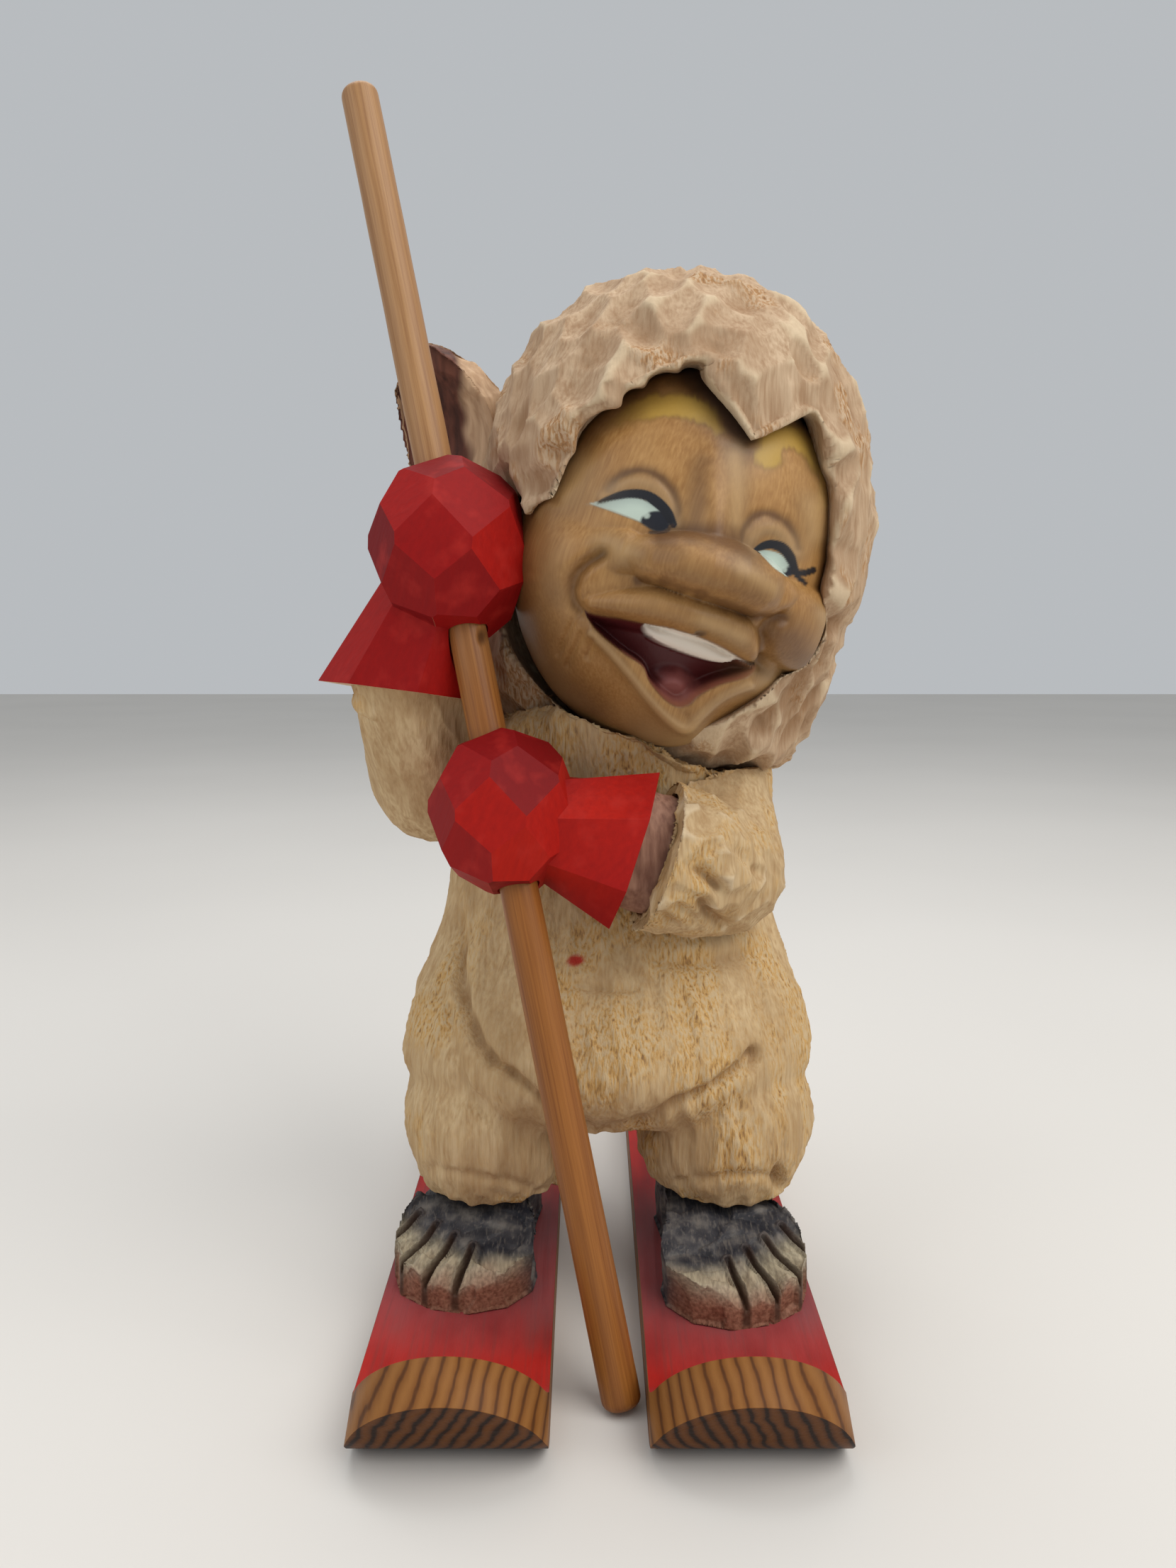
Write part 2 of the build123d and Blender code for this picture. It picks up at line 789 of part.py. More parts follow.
def stand_in_frame(pieces):
    """Move the figure so the middle of its box stands over the origin."""
    boxes = [piece.bounding_box() for piece in pieces.values()]
    middle_x = (min(box.min.X for box in boxes) + max(box.max.X for box in boxes)) / 2
    middle_y = (min(box.min.Y for box in boxes) + max(box.max.Y for box in boxes)) / 2
    return {name: Pos(-middle_x, -middle_y, 0) * piece for name, piece in pieces.items()}


os.makedirs("parts", exist_ok=True)
for name, piece in stand_in_frame(make_all()).items():
    piece.label = name
    export_step(piece, f"parts/{name}.step")
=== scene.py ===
"""Looks of a carved wooden troll child on skis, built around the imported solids.

Blender works in metres and the carving maths in millimetres. +Z is up and the troll looks along -Y.
"""

import logging
import math
from dataclasses import dataclass
from enum import Enum
from typing import Callable, Sequence

import bpy
import numpy as np
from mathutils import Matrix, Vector


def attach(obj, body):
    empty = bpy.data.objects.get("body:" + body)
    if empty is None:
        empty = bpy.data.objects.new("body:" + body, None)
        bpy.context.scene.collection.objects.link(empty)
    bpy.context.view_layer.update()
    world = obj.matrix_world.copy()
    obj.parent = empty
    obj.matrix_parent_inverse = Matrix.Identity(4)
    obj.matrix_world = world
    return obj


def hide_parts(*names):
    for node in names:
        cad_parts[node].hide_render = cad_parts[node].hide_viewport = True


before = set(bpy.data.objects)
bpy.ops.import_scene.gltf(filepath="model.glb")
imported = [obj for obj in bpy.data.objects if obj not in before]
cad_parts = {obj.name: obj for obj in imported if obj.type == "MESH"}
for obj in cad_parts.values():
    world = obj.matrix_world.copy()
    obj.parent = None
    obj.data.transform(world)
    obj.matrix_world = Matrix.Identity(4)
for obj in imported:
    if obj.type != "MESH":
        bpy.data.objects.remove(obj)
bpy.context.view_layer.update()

MM = 0.001  # in metres
SHIFT_X = -0.812  # in millimetres: the imported part is centred, which moves it by this
TINY = 1e-9  # keeps divisions away from zero
WELD = 2e-6  # in metres: corners nearer than this are joined
LOG = logging.getLogger("troll")
Array = np.ndarray
Pixels = Sequence[tuple[float, float]]
Triple = tuple[float, float, float]
Socket = bpy.types.NodeSocket
Material = bpy.types.Material


class Body(Enum):
    """The bodies that pieces ride on."""

    FIGURE = "figure"
    POLE = "pole"


class Stroke(Enum):
    """Which way the gouge runs over a piece."""

    ALONG = "along"
    CROWN = "crown"
    ANY = "any"


def srgb(red: float, green: float, blue: float) -> tuple[float, float, float, float]:
    """Turns a colour given as 0 to 255 into the linear colour that a shader takes.

    Args:
        red, green, blue: the colour's parts.
    Returns:
        Linear red, green, blue and full alpha.
    """
    parts = [value / 255 for value in (red, green, blue)]
    linear = [p / 12.92 if p <= 0.04045 else ((p + 0.055) / 1.055) ** 2.4 for p in parts]
    return (linear[0], linear[1], linear[2], 1.0)


def ease(low: float, high: float, value: Array) -> Array:
    """Smooth step from 0 at low to 1 at high, which may be given in either order."""
    t = np.clip((value - low) / (high - low), 0, 1)
    return t * t * (3 - 2 * t)


def bell(distance: Array, wide: float) -> Array:
    """Bell-shaped share: 1 in the middle, about a third at the given width."""
    return np.exp(-(distance / wide) ** 2)


def along(share: Array, values: Sequence[float]) -> Array:
    """Value at a share of the way along a list."""
    return np.interp(share, np.linspace(0, 1, len(values)), values)


def unit(ways: Array) -> Array:
    """Directions of length one."""
    return ways / (np.linalg.norm(ways, axis=1)[:, None] + TINY)


def from_spot(spots: Array, at: Sequence[float], stretch: Sequence[float] = (1.0, 1.0)) -> Array:
    """Distance of places from one spot, with each axis stretched."""
    return np.linalg.norm((spots - np.array(at)) * np.array(stretch), axis=1)


def soft_max(first: Array, second: Array, blend: float) -> Array:
    """Larger of two heights, with a rounded valley of the given width between them."""
    gap = np.clip(0.5 + 0.5 * (first - second) / blend, 0, 1)
    return second + (first - second) * gap + blend * gap * (1 - gap)


class Lattice:
    """Smooth repeatable noise from a seeded lattice."""

    SIDE = 32
    FINER = 2.03
    OFFSET = 7.7
    WEAKER = 0.5
    WHOLE = 1.6

    def __init__(self, seed: int) -> None:
        """Fills the lattice from its seed."""
        self.values = np.random.default_rng(seed).random((self.SIDE,) * 3) * 2 - 1

    def at(self, points: Array) -> Array:
        """Noise at points.

        Args:
            points: n by 3, one lattice cell per unit.
        Returns:
            n values from -1 to 1.
        """
        base = np.floor(points).astype(int)
        part = points - base
        part = part * part * (3 - 2 * part)
        total = np.zeros(len(points))
        for corner in range(8):
            step = np.array([corner & 1, corner >> 1 & 1, corner >> 2 & 1])
            share = np.prod(np.where(step == 1, part, 1 - part), axis=1)
            i, j, k = ((base + step) % self.SIDE).T
            total += share * self.values[i, j, k]
        return total

    def layers(self, points: Array, count: int = 3) -> Array:
        """Sum of finer and finer noise.

        Args:
            points: n by 3, one cell of the coarsest layer per unit.
            count: how many layers.
        Returns:
            n values, about -1 to 1.
        """
        total = np.zeros(len(points))
        for layer in range(count):
            total += self.at(points * self.FINER ** layer + layer * self.OFFSET) * self.WEAKER ** layer
        return total / self.WHOLE


@dataclass(frozen=True)
class Lens:
    """The photograph's viewpoint: places given in its pixels are measured through it."""

    focal: float = 1661.0
    middle: tuple[float, float] = (829.5, 1106.0)
    horizon: float = 885.0
    stand: Triple = (-2.6 + SHIFT_X, -330.0, 187.0)

    @property
    def tilt(self) -> float:
        """Angle that the camera looks down by, in radians."""
        return math.atan2(self.middle[1] - self.horizon, self.focal)

    def project(self, points: Array) -> tuple[Array, Array]:
        """Where points fall in the photograph.

        Args:
            points: n by 3 in millimetres.
        Returns:
            n by 2 pixels, and n sizes of a pixel in millimetres at that depth.
        """
        rel = points - np.array(self.stand)
        c, s = math.cos(self.tilt), math.sin(self.tilt)
        depth = rel[:, 1] * c - rel[:, 2] * s
        rise = rel[:, 1] * s + rel[:, 2] * c
        across = self.middle[0] + self.focal * rel[:, 0] / depth
        down = self.middle[1] - self.focal * rise / depth
        return np.stack([across, down], axis=1), depth / self.focal

    def facing(self, points: Array, normals: Array) -> Array:
        """How far a surface looks towards the camera.

        Args:
            points, normals: n by 3.
        Returns:
            n values from -1 to 1.
        """
        view = np.array(self.stand) - points
        view /= np.linalg.norm(view, axis=1)[:, None]
        return np.einsum("ij,ij->i", view, normals)


LENS = Lens()


def curve(points: Pixels, steps: int = 8) -> Array:
    """Smooth line through a few points.

    Args:
        points: the points.
        steps: pieces per span.
    Returns:
        Points of the finer line.
    """
    p = np.array(points, float)
    if len(p) < 3:
        return p
    ends = np.vstack([2 * p[0] - p[1], p, 2 * p[-1] - p[-2]])
    t = np.linspace(0, 1, steps, endpoint=False)[:, None]
    out = []
    for a, b, c, d in zip(ends, ends[1:], ends[2:], ends[3:]):
        bend = (2 * a - 5 * b + 4 * c - d) * t ** 2
        out.append(0.5 * (2 * b + (c - a) * t + bend + (3 * b - a - 3 * c + d) * t ** 3))
    return np.vstack(out + [p[-1:]])


def between(first: Pixels, second: Pixels) -> list[tuple[float, float]]:
    """Line half-way between two lines."""
    return [(0.5 * (a[0] + b[0]), 0.5 * (a[1] + b[1])) for a, b in zip(first, second)]


def line_distance(spots: Array, line: Array) -> tuple[Array, Array]:
    """Distance from places to a line, and how far along it the nearest point is.

    Args:
        spots: n by 2.
        line: the line's points.
    Returns:
        n distances, and n shares from 0 to 1.
    """
    best = np.full(len(spots), 1e9)
    share = np.zeros(len(spots))
    spans = len(line) - 1
    for index in range(spans):
        a, d = line[index], line[index + 1] - line[index]
        t = np.clip(((spots - a) @ d) / max(d @ d, TINY), 0, 1)
        gap = np.linalg.norm(spots - (a + t[:, None] * d), axis=1)
        near = gap < best
        best[near] = gap[near]
        share[near] = (index + t[near]) / spans
    return best, share


def inside(spots: Array, rim: Array) -> Array:
    """Signed distance to a closed outline.

    Args:
        spots: n by 2.
        rim: the outline's points.
    Returns:
        n distances, positive inside.
    """
    closed = np.vstack([rim, rim[:1]])
    gap, _ = line_distance(spots, closed)
    odd = np.zeros(len(spots), bool)
    for a, b in zip(closed[:-1], closed[1:]):
        cross = (a[1] > spots[:, 1]) != (b[1] > spots[:, 1])
        rise = b[1] - a[1] if abs(b[1] - a[1]) > TINY else TINY
        odd ^= cross & (spots[:, 0] < (b[0] - a[0]) * (spots[:, 1] - a[1]) / rise + a[0])
    return np.where(odd, gap, -gap)


@dataclass
class Surface:
    """A piece's surface as it stands, measured against marks in the photograph."""

    points: Array
    normals: Array

    def __post_init__(self) -> None:
        """Looks at the points through the lens."""
        self.spots, self.size = LENS.project(self.points)
        self.front = LENS.facing(self.points, self.normals)

    def gap(self, line: Pixels) -> tuple[Array, Array]:
        """Distance to a smooth line in millimetres, and the share of the way along it."""
        distance, share = line_distance(self.spots, curve(line))
        return distance * self.size, share

    def stroke(self, line: Pixels, wide: float) -> Array:
        """Bell-shaped share round a smooth line."""
        return bell(self.gap(line)[0], wide)

    def dot(self, at: Sequence[float], stretch: Sequence[float] = (1.0, 1.0)) -> Array:
        """Distance to one spot in millimetres."""
        return from_spot(self.spots, at, stretch) * self.size

    def area(self, rim: Array) -> Array:
        """Signed distance to a closed outline in millimetres, positive inside."""
        return inside(self.spots, rim) * self.size

    def above(self, line: Pixels, soft: float = 12.0) -> Array:
        """Share that lies over a line instead of under it, blended over a few pixels."""
        across, down = zip(*line)
        return ease(soft, -soft, self.spots[:, 1] - np.interp(self.spots[:, 0], across, down))

    def furrows(self, lines: tuple) -> Array:
        """Depth of creases drawn by their places in the photograph.

        Args:
            lines: each line's points, half width and depth.
        Returns:
            n heights, zero or below.
        """
        seen = ease(0.0, 0.35, self.front)
        height = np.zeros(len(self.points))
        for line, wide, deep in lines:
            distance, share = self.gap(line)
            fade = np.sqrt(np.clip(5 * share * (1 - share) + 0.15, 0, 1))
            height -= deep * fade * bell(distance, wide) * seen
        return height


@dataclass
class Block:
    """A piece of wood on the bench: a Blender mesh whose points are moved in millimetres."""

    obj: bpy.types.Object
    node: str

    @classmethod
    def copy_of(cls, node: str, ending: str = "carved", voxel: float = 0.0, rounds: int = 0) -> "Block":
        """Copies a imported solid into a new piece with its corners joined.

        Args:
            node: the solid's name.
            ending: what the piece's name adds to it.
            voxel: size of new even faces in millimetres, or 0 for the solid's own faces.
            rounds: how often the steps of the new faces are rubbed off.
        Returns:
            The new block.
        """
        block = cls(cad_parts[node], node)
        block.select()
        bpy.ops.object.duplicate(linked=False)
        block.obj = obj = bpy.context.view_layer.objects.active
        obj.name = obj.data.name = f"{node}_{ending}"
        obj.parent = None
        for key in list(obj.keys()):
            del obj[key]
        obj.data.materials.clear()
        bpy.ops.mesh.customdata_custom_splitnormals_clear()
        block.work(lambda: bpy.ops.mesh.remove_doubles(threshold=WELD))
        if voxel:
            block.apply("REMESH", mode="VOXEL", voxel_size=voxel * MM, use_smooth_shade=True)
            block.apply("SMOOTH", factor=0.5, iterations=rounds)
        return block

    def select(self) -> None:
        """Makes this the one selected and active piece."""
        bpy.ops.object.select_all(action="DESELECT")
        self.obj.select_set(True)
        bpy.context.view_layer.objects.active = self.obj

    def work(self, operator: Callable[[], object]) -> None:
        """Runs a mesh operator on the whole block.

        Args:
            operator: called in edit mode, with everything selected.
        """
        self.select()
        bpy.ops.object.mode_set(mode="EDIT")
        bpy.ops.mesh.select_all(action="SELECT")
        operator()
        bpy.ops.object.mode_set(mode="OBJECT")

    def apply(self, kind: str, **settings: object) -> None:
        """Adds a modifier with its settings and applies it.

        Args:
            kind: the modifier's type.
            settings: its values.
        """
        self.select()
        modifier = self.obj.modifiers.new(kind.title(), kind)
        for key, value in settings.items():
            setattr(modifier, key, value)
        bpy.ops.object.modifier_apply(modifier=modifier.name)

    def bevel(self, width: float, degrees: float) -> None:
        """Breaks the edges that are sharper than an angle by a width in millimetres."""
        limit = math.radians(degrees)
        self.apply("BEVEL", width=width * MM, segments=2, limit_method="ANGLE", angle_limit=limit)

    def rub(self, name: str, where: Array, rounds: int) -> None:
        """Rubs part of the surface smooth.

        Args:
            name: the part's name.
            where: share per point, worked where it is over a half.
            rounds: how often it is rubbed.
        """
        group = self.obj.vertex_groups.new(name=name)
        group.add([int(index) for index in np.flatnonzero(where > 0.5)], 1.0, "REPLACE")
        self.apply("SMOOTH", factor=0.5, iterations=rounds, vertex_group=name)
        self.obj.vertex_groups.remove(self.obj.vertex_groups[name])

    @staticmethod
    def fetch(items: bpy.types.bpy_prop_collection, name: str) -> Array:
        """Reads one vector per item.

        Args:
            items: points, normals or faces of a mesh.
            name: what is read.
        Returns:
            n by 3 values.
        """
        flat = np.empty(len(items) * 3, np.float32)
        items.foreach_get(name, flat)
        return flat.reshape(-1, 3).astype(float)

    def points(self) -> Array:
        """Points in millimetres, n by 3."""
        return self.fetch(self.obj.data.vertices, "co") / MM

    def normals(self) -> Array:
        """Outward directions at the points, n by 3."""
        return self.fetch(self.obj.data.vertex_normals, "vector")

    def faces(self) -> Array:
        """Outward directions of the faces, n by 3."""
        return self.fetch(self.obj.data.polygons, "normal")

    def surface(self) -> Surface:
        """The surface as it is now."""
        return Surface(self.points(), self.normals())

    def move(self, points: Array) -> None:
        """Puts the points at new places, in millimetres."""
        self.obj.data.vertices.foreach_set("co", (points * MM).astype(np.float32).ravel())
        self.obj.data.update()

    def raise_by(self, height: Array) -> None:
        """Moves each point along its own normal, in millimetres."""
        self.move(self.points() + self.normals() * height[:, None])

    def mark(self, domain: str = "POINT", **layers: Array) -> None:
        """Stores numbers, or colours with their cover, for the finish to read.

        Args:
            domain: whether they belong to points or faces.
            layers: the values by name.
        """
        for name, values in layers.items():
            kind, part = ("FLOAT_COLOR", "color") if values.ndim == 2 else ("FLOAT", "value")
            layer = self.obj.data.attributes.new(name, kind, domain)
            layer.data.foreach_set(part, values.astype(np.float32).ravel())

    def dress(self, slot: str, material: Material, body: Body = Body.FIGURE) -> None:
        """Gives the piece its finish and its place on a body.

        Args:
            slot: not used.
            material: the shader.
            body: what it rides on.
        """
        self.obj.data.materials.clear()
        self.obj.data.materials.append(material)
        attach(self.obj, body.value)
        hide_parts(self.node)
        LOG.info("%s: %d faces on %s", self.obj.name, len(self.obj.data.polygons), body.value)


def spread(points: Array, gap: float, rng: np.random.Generator, tries: int = 9000) -> Array:
    """Picks places at least a gap apart, in a random order.

    Args:
        points: where a place may be.
        gap: smallest distance in millimetres.
        rng: the seeded source.
        tries: how many places are looked at.
    Returns:
        Indices of the places.
    """
    order = rng.permutation(len(points))[:tries]
    kept = np.empty((len(order), 3))
    chosen: list[int] = []
    for index in order:
        count = len(chosen)
        if count and np.min(np.sum((kept[:count] - points[index]) ** 2, axis=1)) < gap * gap:
            continue
        kept[count] = points[index]
        chosen.append(int(index))
    return np.array(chosen)


@dataclass(frozen=True)
class Gouge:
    """One tool's way of working over a surface with overlapping scoops, sizes in millimetres.

    The aim is the way of the strokes, or the point that they run away from.
    """

    length: float
    width: float
    depth: float
    gap: float
    seed: int
    stray: float = 0.5
    stroke: Stroke = Stroke.ALONG
    aim: Triple = (0.0, 0.0, -1.0)
    smallest: float = 0.7
    largest: float = 1.35
    same_side: float = 0.2

    def run(self, points: Array, normals: Array, rng: np.random.Generator) -> Array:
        """Direction of each stroke along the surface.

        Args:
            points, normals: where the strokes are.
            rng: the seeded source.
        Returns:
            Unit directions, n by 3.
        """
        if self.stroke is Stroke.CROWN:
            way = points - np.array(self.aim)
        elif self.stroke is Stroke.ANY:
            way = rng.normal(size=points.shape)
        else:
            way = np.tile(np.array(self.aim), (len(points), 1))
        way = unit(way) + rng.normal(size=points.shape) * self.stray
        way -= normals * np.einsum("ij,ij->i", way, normals)[:, None]
        return unit(way)

    def cut(self, skin: Surface) -> Array:
        """Depth left by all the strokes.

        Args:
            skin: the surface.
        Returns:
            n heights, zero or below.
        """
        points, normals = skin.points, skin.normals
        rng = np.random.default_rng(self.seed)
        spots = spread(points, self.gap, rng)
        ways = self.run(points[spots], normals[spots], rng)
        sizes = rng.uniform(self.smallest, self.largest, (len(spots), 3))
        height = np.zeros(len(points))
        reach = self.largest * max(self.length, self.width)
        order = np.argsort(points[:, 2])
        levels = points[order, 2]
        for spot, way, size in zip(spots, ways, sizes):
            low, high = np.searchsorted(levels, [points[spot, 2] - reach, points[spot, 2] + reach])
            near = order[low:high]
            rel = points[near] - points[spot]
            ahead = rel @ way / (self.length * size[0])
            across = rel @ np.cross(normals[spot], way) / (self.width * size[1])
            out = rel @ normals[spot] / (2 * self.width)
            q = ahead ** 2 + across ** 2 + out ** 2
            hit = (q < 1) & (normals[near] @ normals[spot] > self.same_side)
            deep = -self.depth * size[2] * (1 - q[hit])
            height[near[hit]] = np.minimum(height[near[hit]], deep)
        return height


@dataclass(frozen=True)
class Knife:
    """Flat cuts that shave a rounded form into facets, sizes in millimetres."""

    gap: float = 5.5
    depth: float = 0.5
    reach: float = 7.5
    wobble: float = 0.1
    same_side: float = 0.45
    lightest: float = 0.6
    hardest: float = 1.5

    def shave(self, skin: Surface, free: Array, seed: int) -> Array:
        """Cuts the facets.

        Args:
            skin: the surface.
            free: where the knife may work, true or false.
            seed: start of the random draws.
        Returns:
            New points.
        """
        rng = np.random.default_rng(seed)
        allowed = np.flatnonzero(free)
        moved = skin.points.copy()
        for spot in allowed[spread(skin.points[allowed], self.gap, rng)]:
            way = skin.normals[spot] + rng.normal(size=3) * self.wobble
            way /= np.linalg.norm(way)
            rel = moved - skin.points[spot]
            over = rel @ way + self.depth * rng.uniform(self.lightest, self.hardest)
            near = np.einsum("ij,ij->i", rel, rel) < self.reach ** 2
            hit = free & (over > 0) & near & (skin.normals @ way > self.same_side)
            moved[hit] -= way * over[hit][:, None]
            rng.random()  # passed over, so that the next facets keep their places
        return moved


class Shader:
    """Small helper that builds one procedural finish. Plain colours are given as 0 to 255."""

    def __init__(self, name: str) -> None:
        """Starts a material with its principled shader.

        Args:
            name: the material's name.
        """
        self.material = bpy.data.materials.new(name)
        self.material.use_nodes = True
        self.tree = self.material.node_tree
        self.main = self.tree.nodes["Principled BSDF"]

    def node(self, kind: str, feeds: dict, **settings: object) -> bpy.types.Node:
        """Adds a node.

        Args:
            kind: its type.
            feeds: what goes into its inputs, by their names or numbers.
            settings: its own properties.
        Returns:
            The node.
        """
        made = self.tree.nodes.new(kind)
        for key, value in settings.items():
            setattr(made, key, value)
        for key, value in feeds.items():
            self.feed(made.inputs[key], value)
        return made

    def feed(self, socket: Socket, value: object) -> None:
        """Links an output, or sets a plain value, on an input.

        Args:
            socket: the input.
            value: an output, a number, a vector or a colour.
        """
        if isinstance(value, Socket):
            self.tree.links.new(value, socket)
        else:
            socket.default_value = srgb(*value) if socket.type == "RGBA" else value

    def place(self, scale: Sequence[float], turn: Triple = (0, 0, 0)) -> Socket:
        """Object coordinates, stretched and turned.

        Args:
            scale: cells per metre on each axis.
            turn: rotation in radians.
        Returns:
            The vector output.
        """
        spot = self.node("ShaderNodeTexCoord", {}).outputs["Object"]
        feeds = {"Vector": spot, "Scale": [1 / cells for cells in scale], "Rotation": turn}
        return self.node("ShaderNodeMapping", feeds, vector_type="TEXTURE").outputs["Vector"]

    def noise(self, scale: Sequence[float], detail: float, turn: Triple = (0, 0, 0)) -> Socket:
        """Noise with its own cells per metre on each axis, its finer layers and its turn."""
        feeds = {"Scale": 1.0, "Detail": detail, "Vector": self.place(scale, turn)}
        return self.node("ShaderNodeTexNoise", feeds).outputs["Fac"]

    def stops(self, value: Socket, pairs: Sequence[tuple[float, Sequence[float]]]) -> Socket:
        """Linear colours along a factor.

        Args:
            value: the factor.
            pairs: places and colours.
        Returns:
            The colour output.
        """
        made = self.node("ShaderNodeValToRGB", {"Fac": value})
        elements = made.color_ramp.elements
        for element, (spot, colour) in zip(elements, (pairs[0], pairs[-1])):
            element.position, element.color = spot, colour
        for spot, colour in pairs[1:-1]:
            elements.new(spot).color = colour
        return made.outputs["Color"]

    def ramp(self, value: Socket, *stops: Sequence[float]) -> Socket:
        """Colours along a factor, each given by its place, red, green and blue."""
        return self.stops(value, [(spot, srgb(*colour)) for spot, *colour in stops])

    def fade(self, value: Socket, low: float, high: float, first: float, last: float) -> Socket:
        """Share that goes from first to last while a factor goes from low to high."""
        return self.stops(value, [(low, (first,) * 3 + (1.0,)), (high, (last,) * 3 + (1.0,))])

    def mix(self, factor: Socket, first: object, second: object) -> Socket:
        """Mixes two colours by the share of the second."""
        feeds = {0: factor, 6: first, 7: second}
        return self.node("ShaderNodeMix", feeds, data_type="RGBA").outputs[2]

    def add(self, first: Socket, second: object, kind: str = "ADD", clamp: bool = False) -> Socket:
        """Sum of two numbers, or another kind of arithmetic."""
        return self.node("ShaderNodeMath", {0: first, 1: second}, operation=kind, use_clamp=clamp).outputs[0]

    def times(self, first: Socket, second: object, clamp: bool = False) -> Socket:
        """Product of two numbers."""
        return self.add(first, second, "MULTIPLY", clamp)

    def mark(self, name: str, output: str = "Fac") -> Socket:
        """Reads a stored attribute."""
        return self.node("ShaderNodeAttribute", {}, attribute_name=name).outputs[output]

    def bump(self, height: Socket, distance: float, strength: float) -> None:
        """Roughens the surface by a height."""
        feeds = {"Distance": distance, "Strength": strength, "Height": height}
        self.feed(self.main.inputs["Normal"], self.node("ShaderNodeBump", feeds).outputs["Normal"])

    def done(self, colour: Socket, rough: object, coat: float = 0.0, shine: float = 0.2) -> Material:
        """Feeds the main shader and hands the material over.

        Args:
            colour: base colour.
            rough: roughness.
            coat: share of clear coat.
            shine: strength of the plain reflection.
        Returns:
            The finished material.
        """
        feeds = {"Base Color": colour, "Roughness": rough, "Specular IOR Level": shine,
                 "Coat Weight": coat, "Coat Roughness": 0.25}
        for key, value in feeds.items():
            self.feed(self.main.inputs[key], value)
        return self.material


@dataclass(frozen=True)
class BareWood:
    """Knife-cut lime wood with fine grain, a painted highlight on the ridges, painted shade in the deep
    creases and fuzzy patches.
    """

    name: str
    light: Triple = (202, 176, 136)
    mid: Triple = (168, 136, 96)
    fuzz: Triple = (200, 156, 90)
    # dark fibre colour, also laid into the deep creases as painted shade
    dirt_and_shade: Triple = (132, 94, 58)
    # painted highlight colour for the uncut ridges between the scoops
    ridge: Triple = (212, 192, 160)
    stain: Triple = (176, 52, 40)

    def material(self) -> Material:
        """Builds the finish.

        Returns:
            The material.
        """
        shader = Shader(self.name)
        grain = shader.noise((1100, 1100, 90), 5)
        band = shader.noise((300, 300, 22), 3)
        fibre = shader.noise((1300, 1300, 240), 4)
        cloud = shader.noise((60, 60, 44), 3)
        streak = shader.add(shader.times(grain, 0.55), shader.times(band, 0.45))
        colour = shader.ramp(streak, (0.36, *self.mid), (0.6, *self.light))
        colour = shader.mix(shader.fade(cloud, 0.4, 0.66, 0.0, 0.6), colour, self.mid)
        # painted highlight: the uncut surface and the ridges between scoops are made paler
        colour = shader.mix(shader.times(shader.mark("ridge"), 0.62), colour, self.ridge)
        tuft = shader.times(shader.mark("fuzz"), 0.85)
        hair = shader.ramp(fibre, (0.3, *self.dirt_and_shade), (0.44, *self.fuzz), (0.58, *self.light))
        colour = shader.mix(tuft, colour, hair)
        # painted shade: the deep creases are darkened
        colour = shader.mix(shader.mark("cut"), colour, self.dirt_and_shade)
        colour = shader.mix(shader.mark("stain"), colour, self.stain)
        rough = shader.times(fibre, shader.add(shader.times(tuft, 2.4), 0.35))
        shader.bump(shader.add(shader.times(grain, 0.5), rough), 0.0007, 0.55)
        return shader.done(colour, 0.78)


@dataclass(frozen=True)
class RedFacets:
    """Thin red paint brushed on knife facets, worn to wood on the sharp edges."""

    name: str = "mitten_red_paint"
    deep: Triple = (106, 9, 13)
    worn: Triple = (184, 46, 38)
    wood: Triple = (206, 176, 138)

    def material(self) -> Material:
        """Builds the finish.

        Returns:
            The material.
        """
        shader = Shader(self.name)
        colour = shader.ramp(shader.mark("tone"), (0.0, 122, 10, 13), (0.5, 156, 16, 13), (1.0, 188, 30, 15))
        brush = shader.noise((700, 700, 90), 4, (0.5, 0.4, 0.0))
        colour = shader.mix(shader.times(brush, 0.5), colour, self.deep)
        cloud = shader.noise((130, 130, 130), 3)
        colour = shader.mix(shader.fade(cloud, 0.55, 0.75, 0.0, 0.4), colour, self.worn)
        bare = shader.times(shader.mark("bare"), shader.add(brush, 0.45, clamp=True), True)
        colour = shader.mix(bare, colour, self.wood)
        shader.bump(brush, 0.0004, 0.3)
        return shader.done(colour, 0.6, 0.02, 0.14)


@dataclass(frozen=True)
class FaceVarnish:
    """Smooth varnished face with painted eyes, brows and mouth, and a brown glaze in the folds that also
    carries painted shade.
    """

    name: str = "face_varnish"
    pale: Triple = (188, 147, 94)
    # brown of the glaze in the folds, also used for painted shade
    glaze_and_shade: Triple = (82, 50, 26)

    def material(self) -> Material:
        """Builds the finish.

        Returns:
            The material.
        """
        shader = Shader(self.name)
        streak = shader.noise((1500, 1500, 80), 5, (0.0, 0.3, 0.0))
        cloud = shader.noise((60, 60, 60), 3)
        colour = shader.ramp(streak, (0.3, 150, 106, 55), (0.5, 162, 118, 65), (0.7, 174, 131, 77))
        colour = shader.mix(shader.fade(cloud, 0.42, 0.7, 0.0, 0.55), colour, self.pale)
        # brown glaze in the folds together with painted shade under the hood, in hollows and on faces turned
        # down or away
        colour = shader.mix(shader.mark("glaze_and_shade"), colour, self.glaze_and_shade)
        colour = shader.mix(shader.mark("paint", "Alpha"), colour, shader.mark("paint", "Color"))
        shader.bump(streak, 0.0003, 0.15)
        return shader.done(colour, shader.add(shader.times(cloud, 0.2), 0.38), 0.08, 0.35)


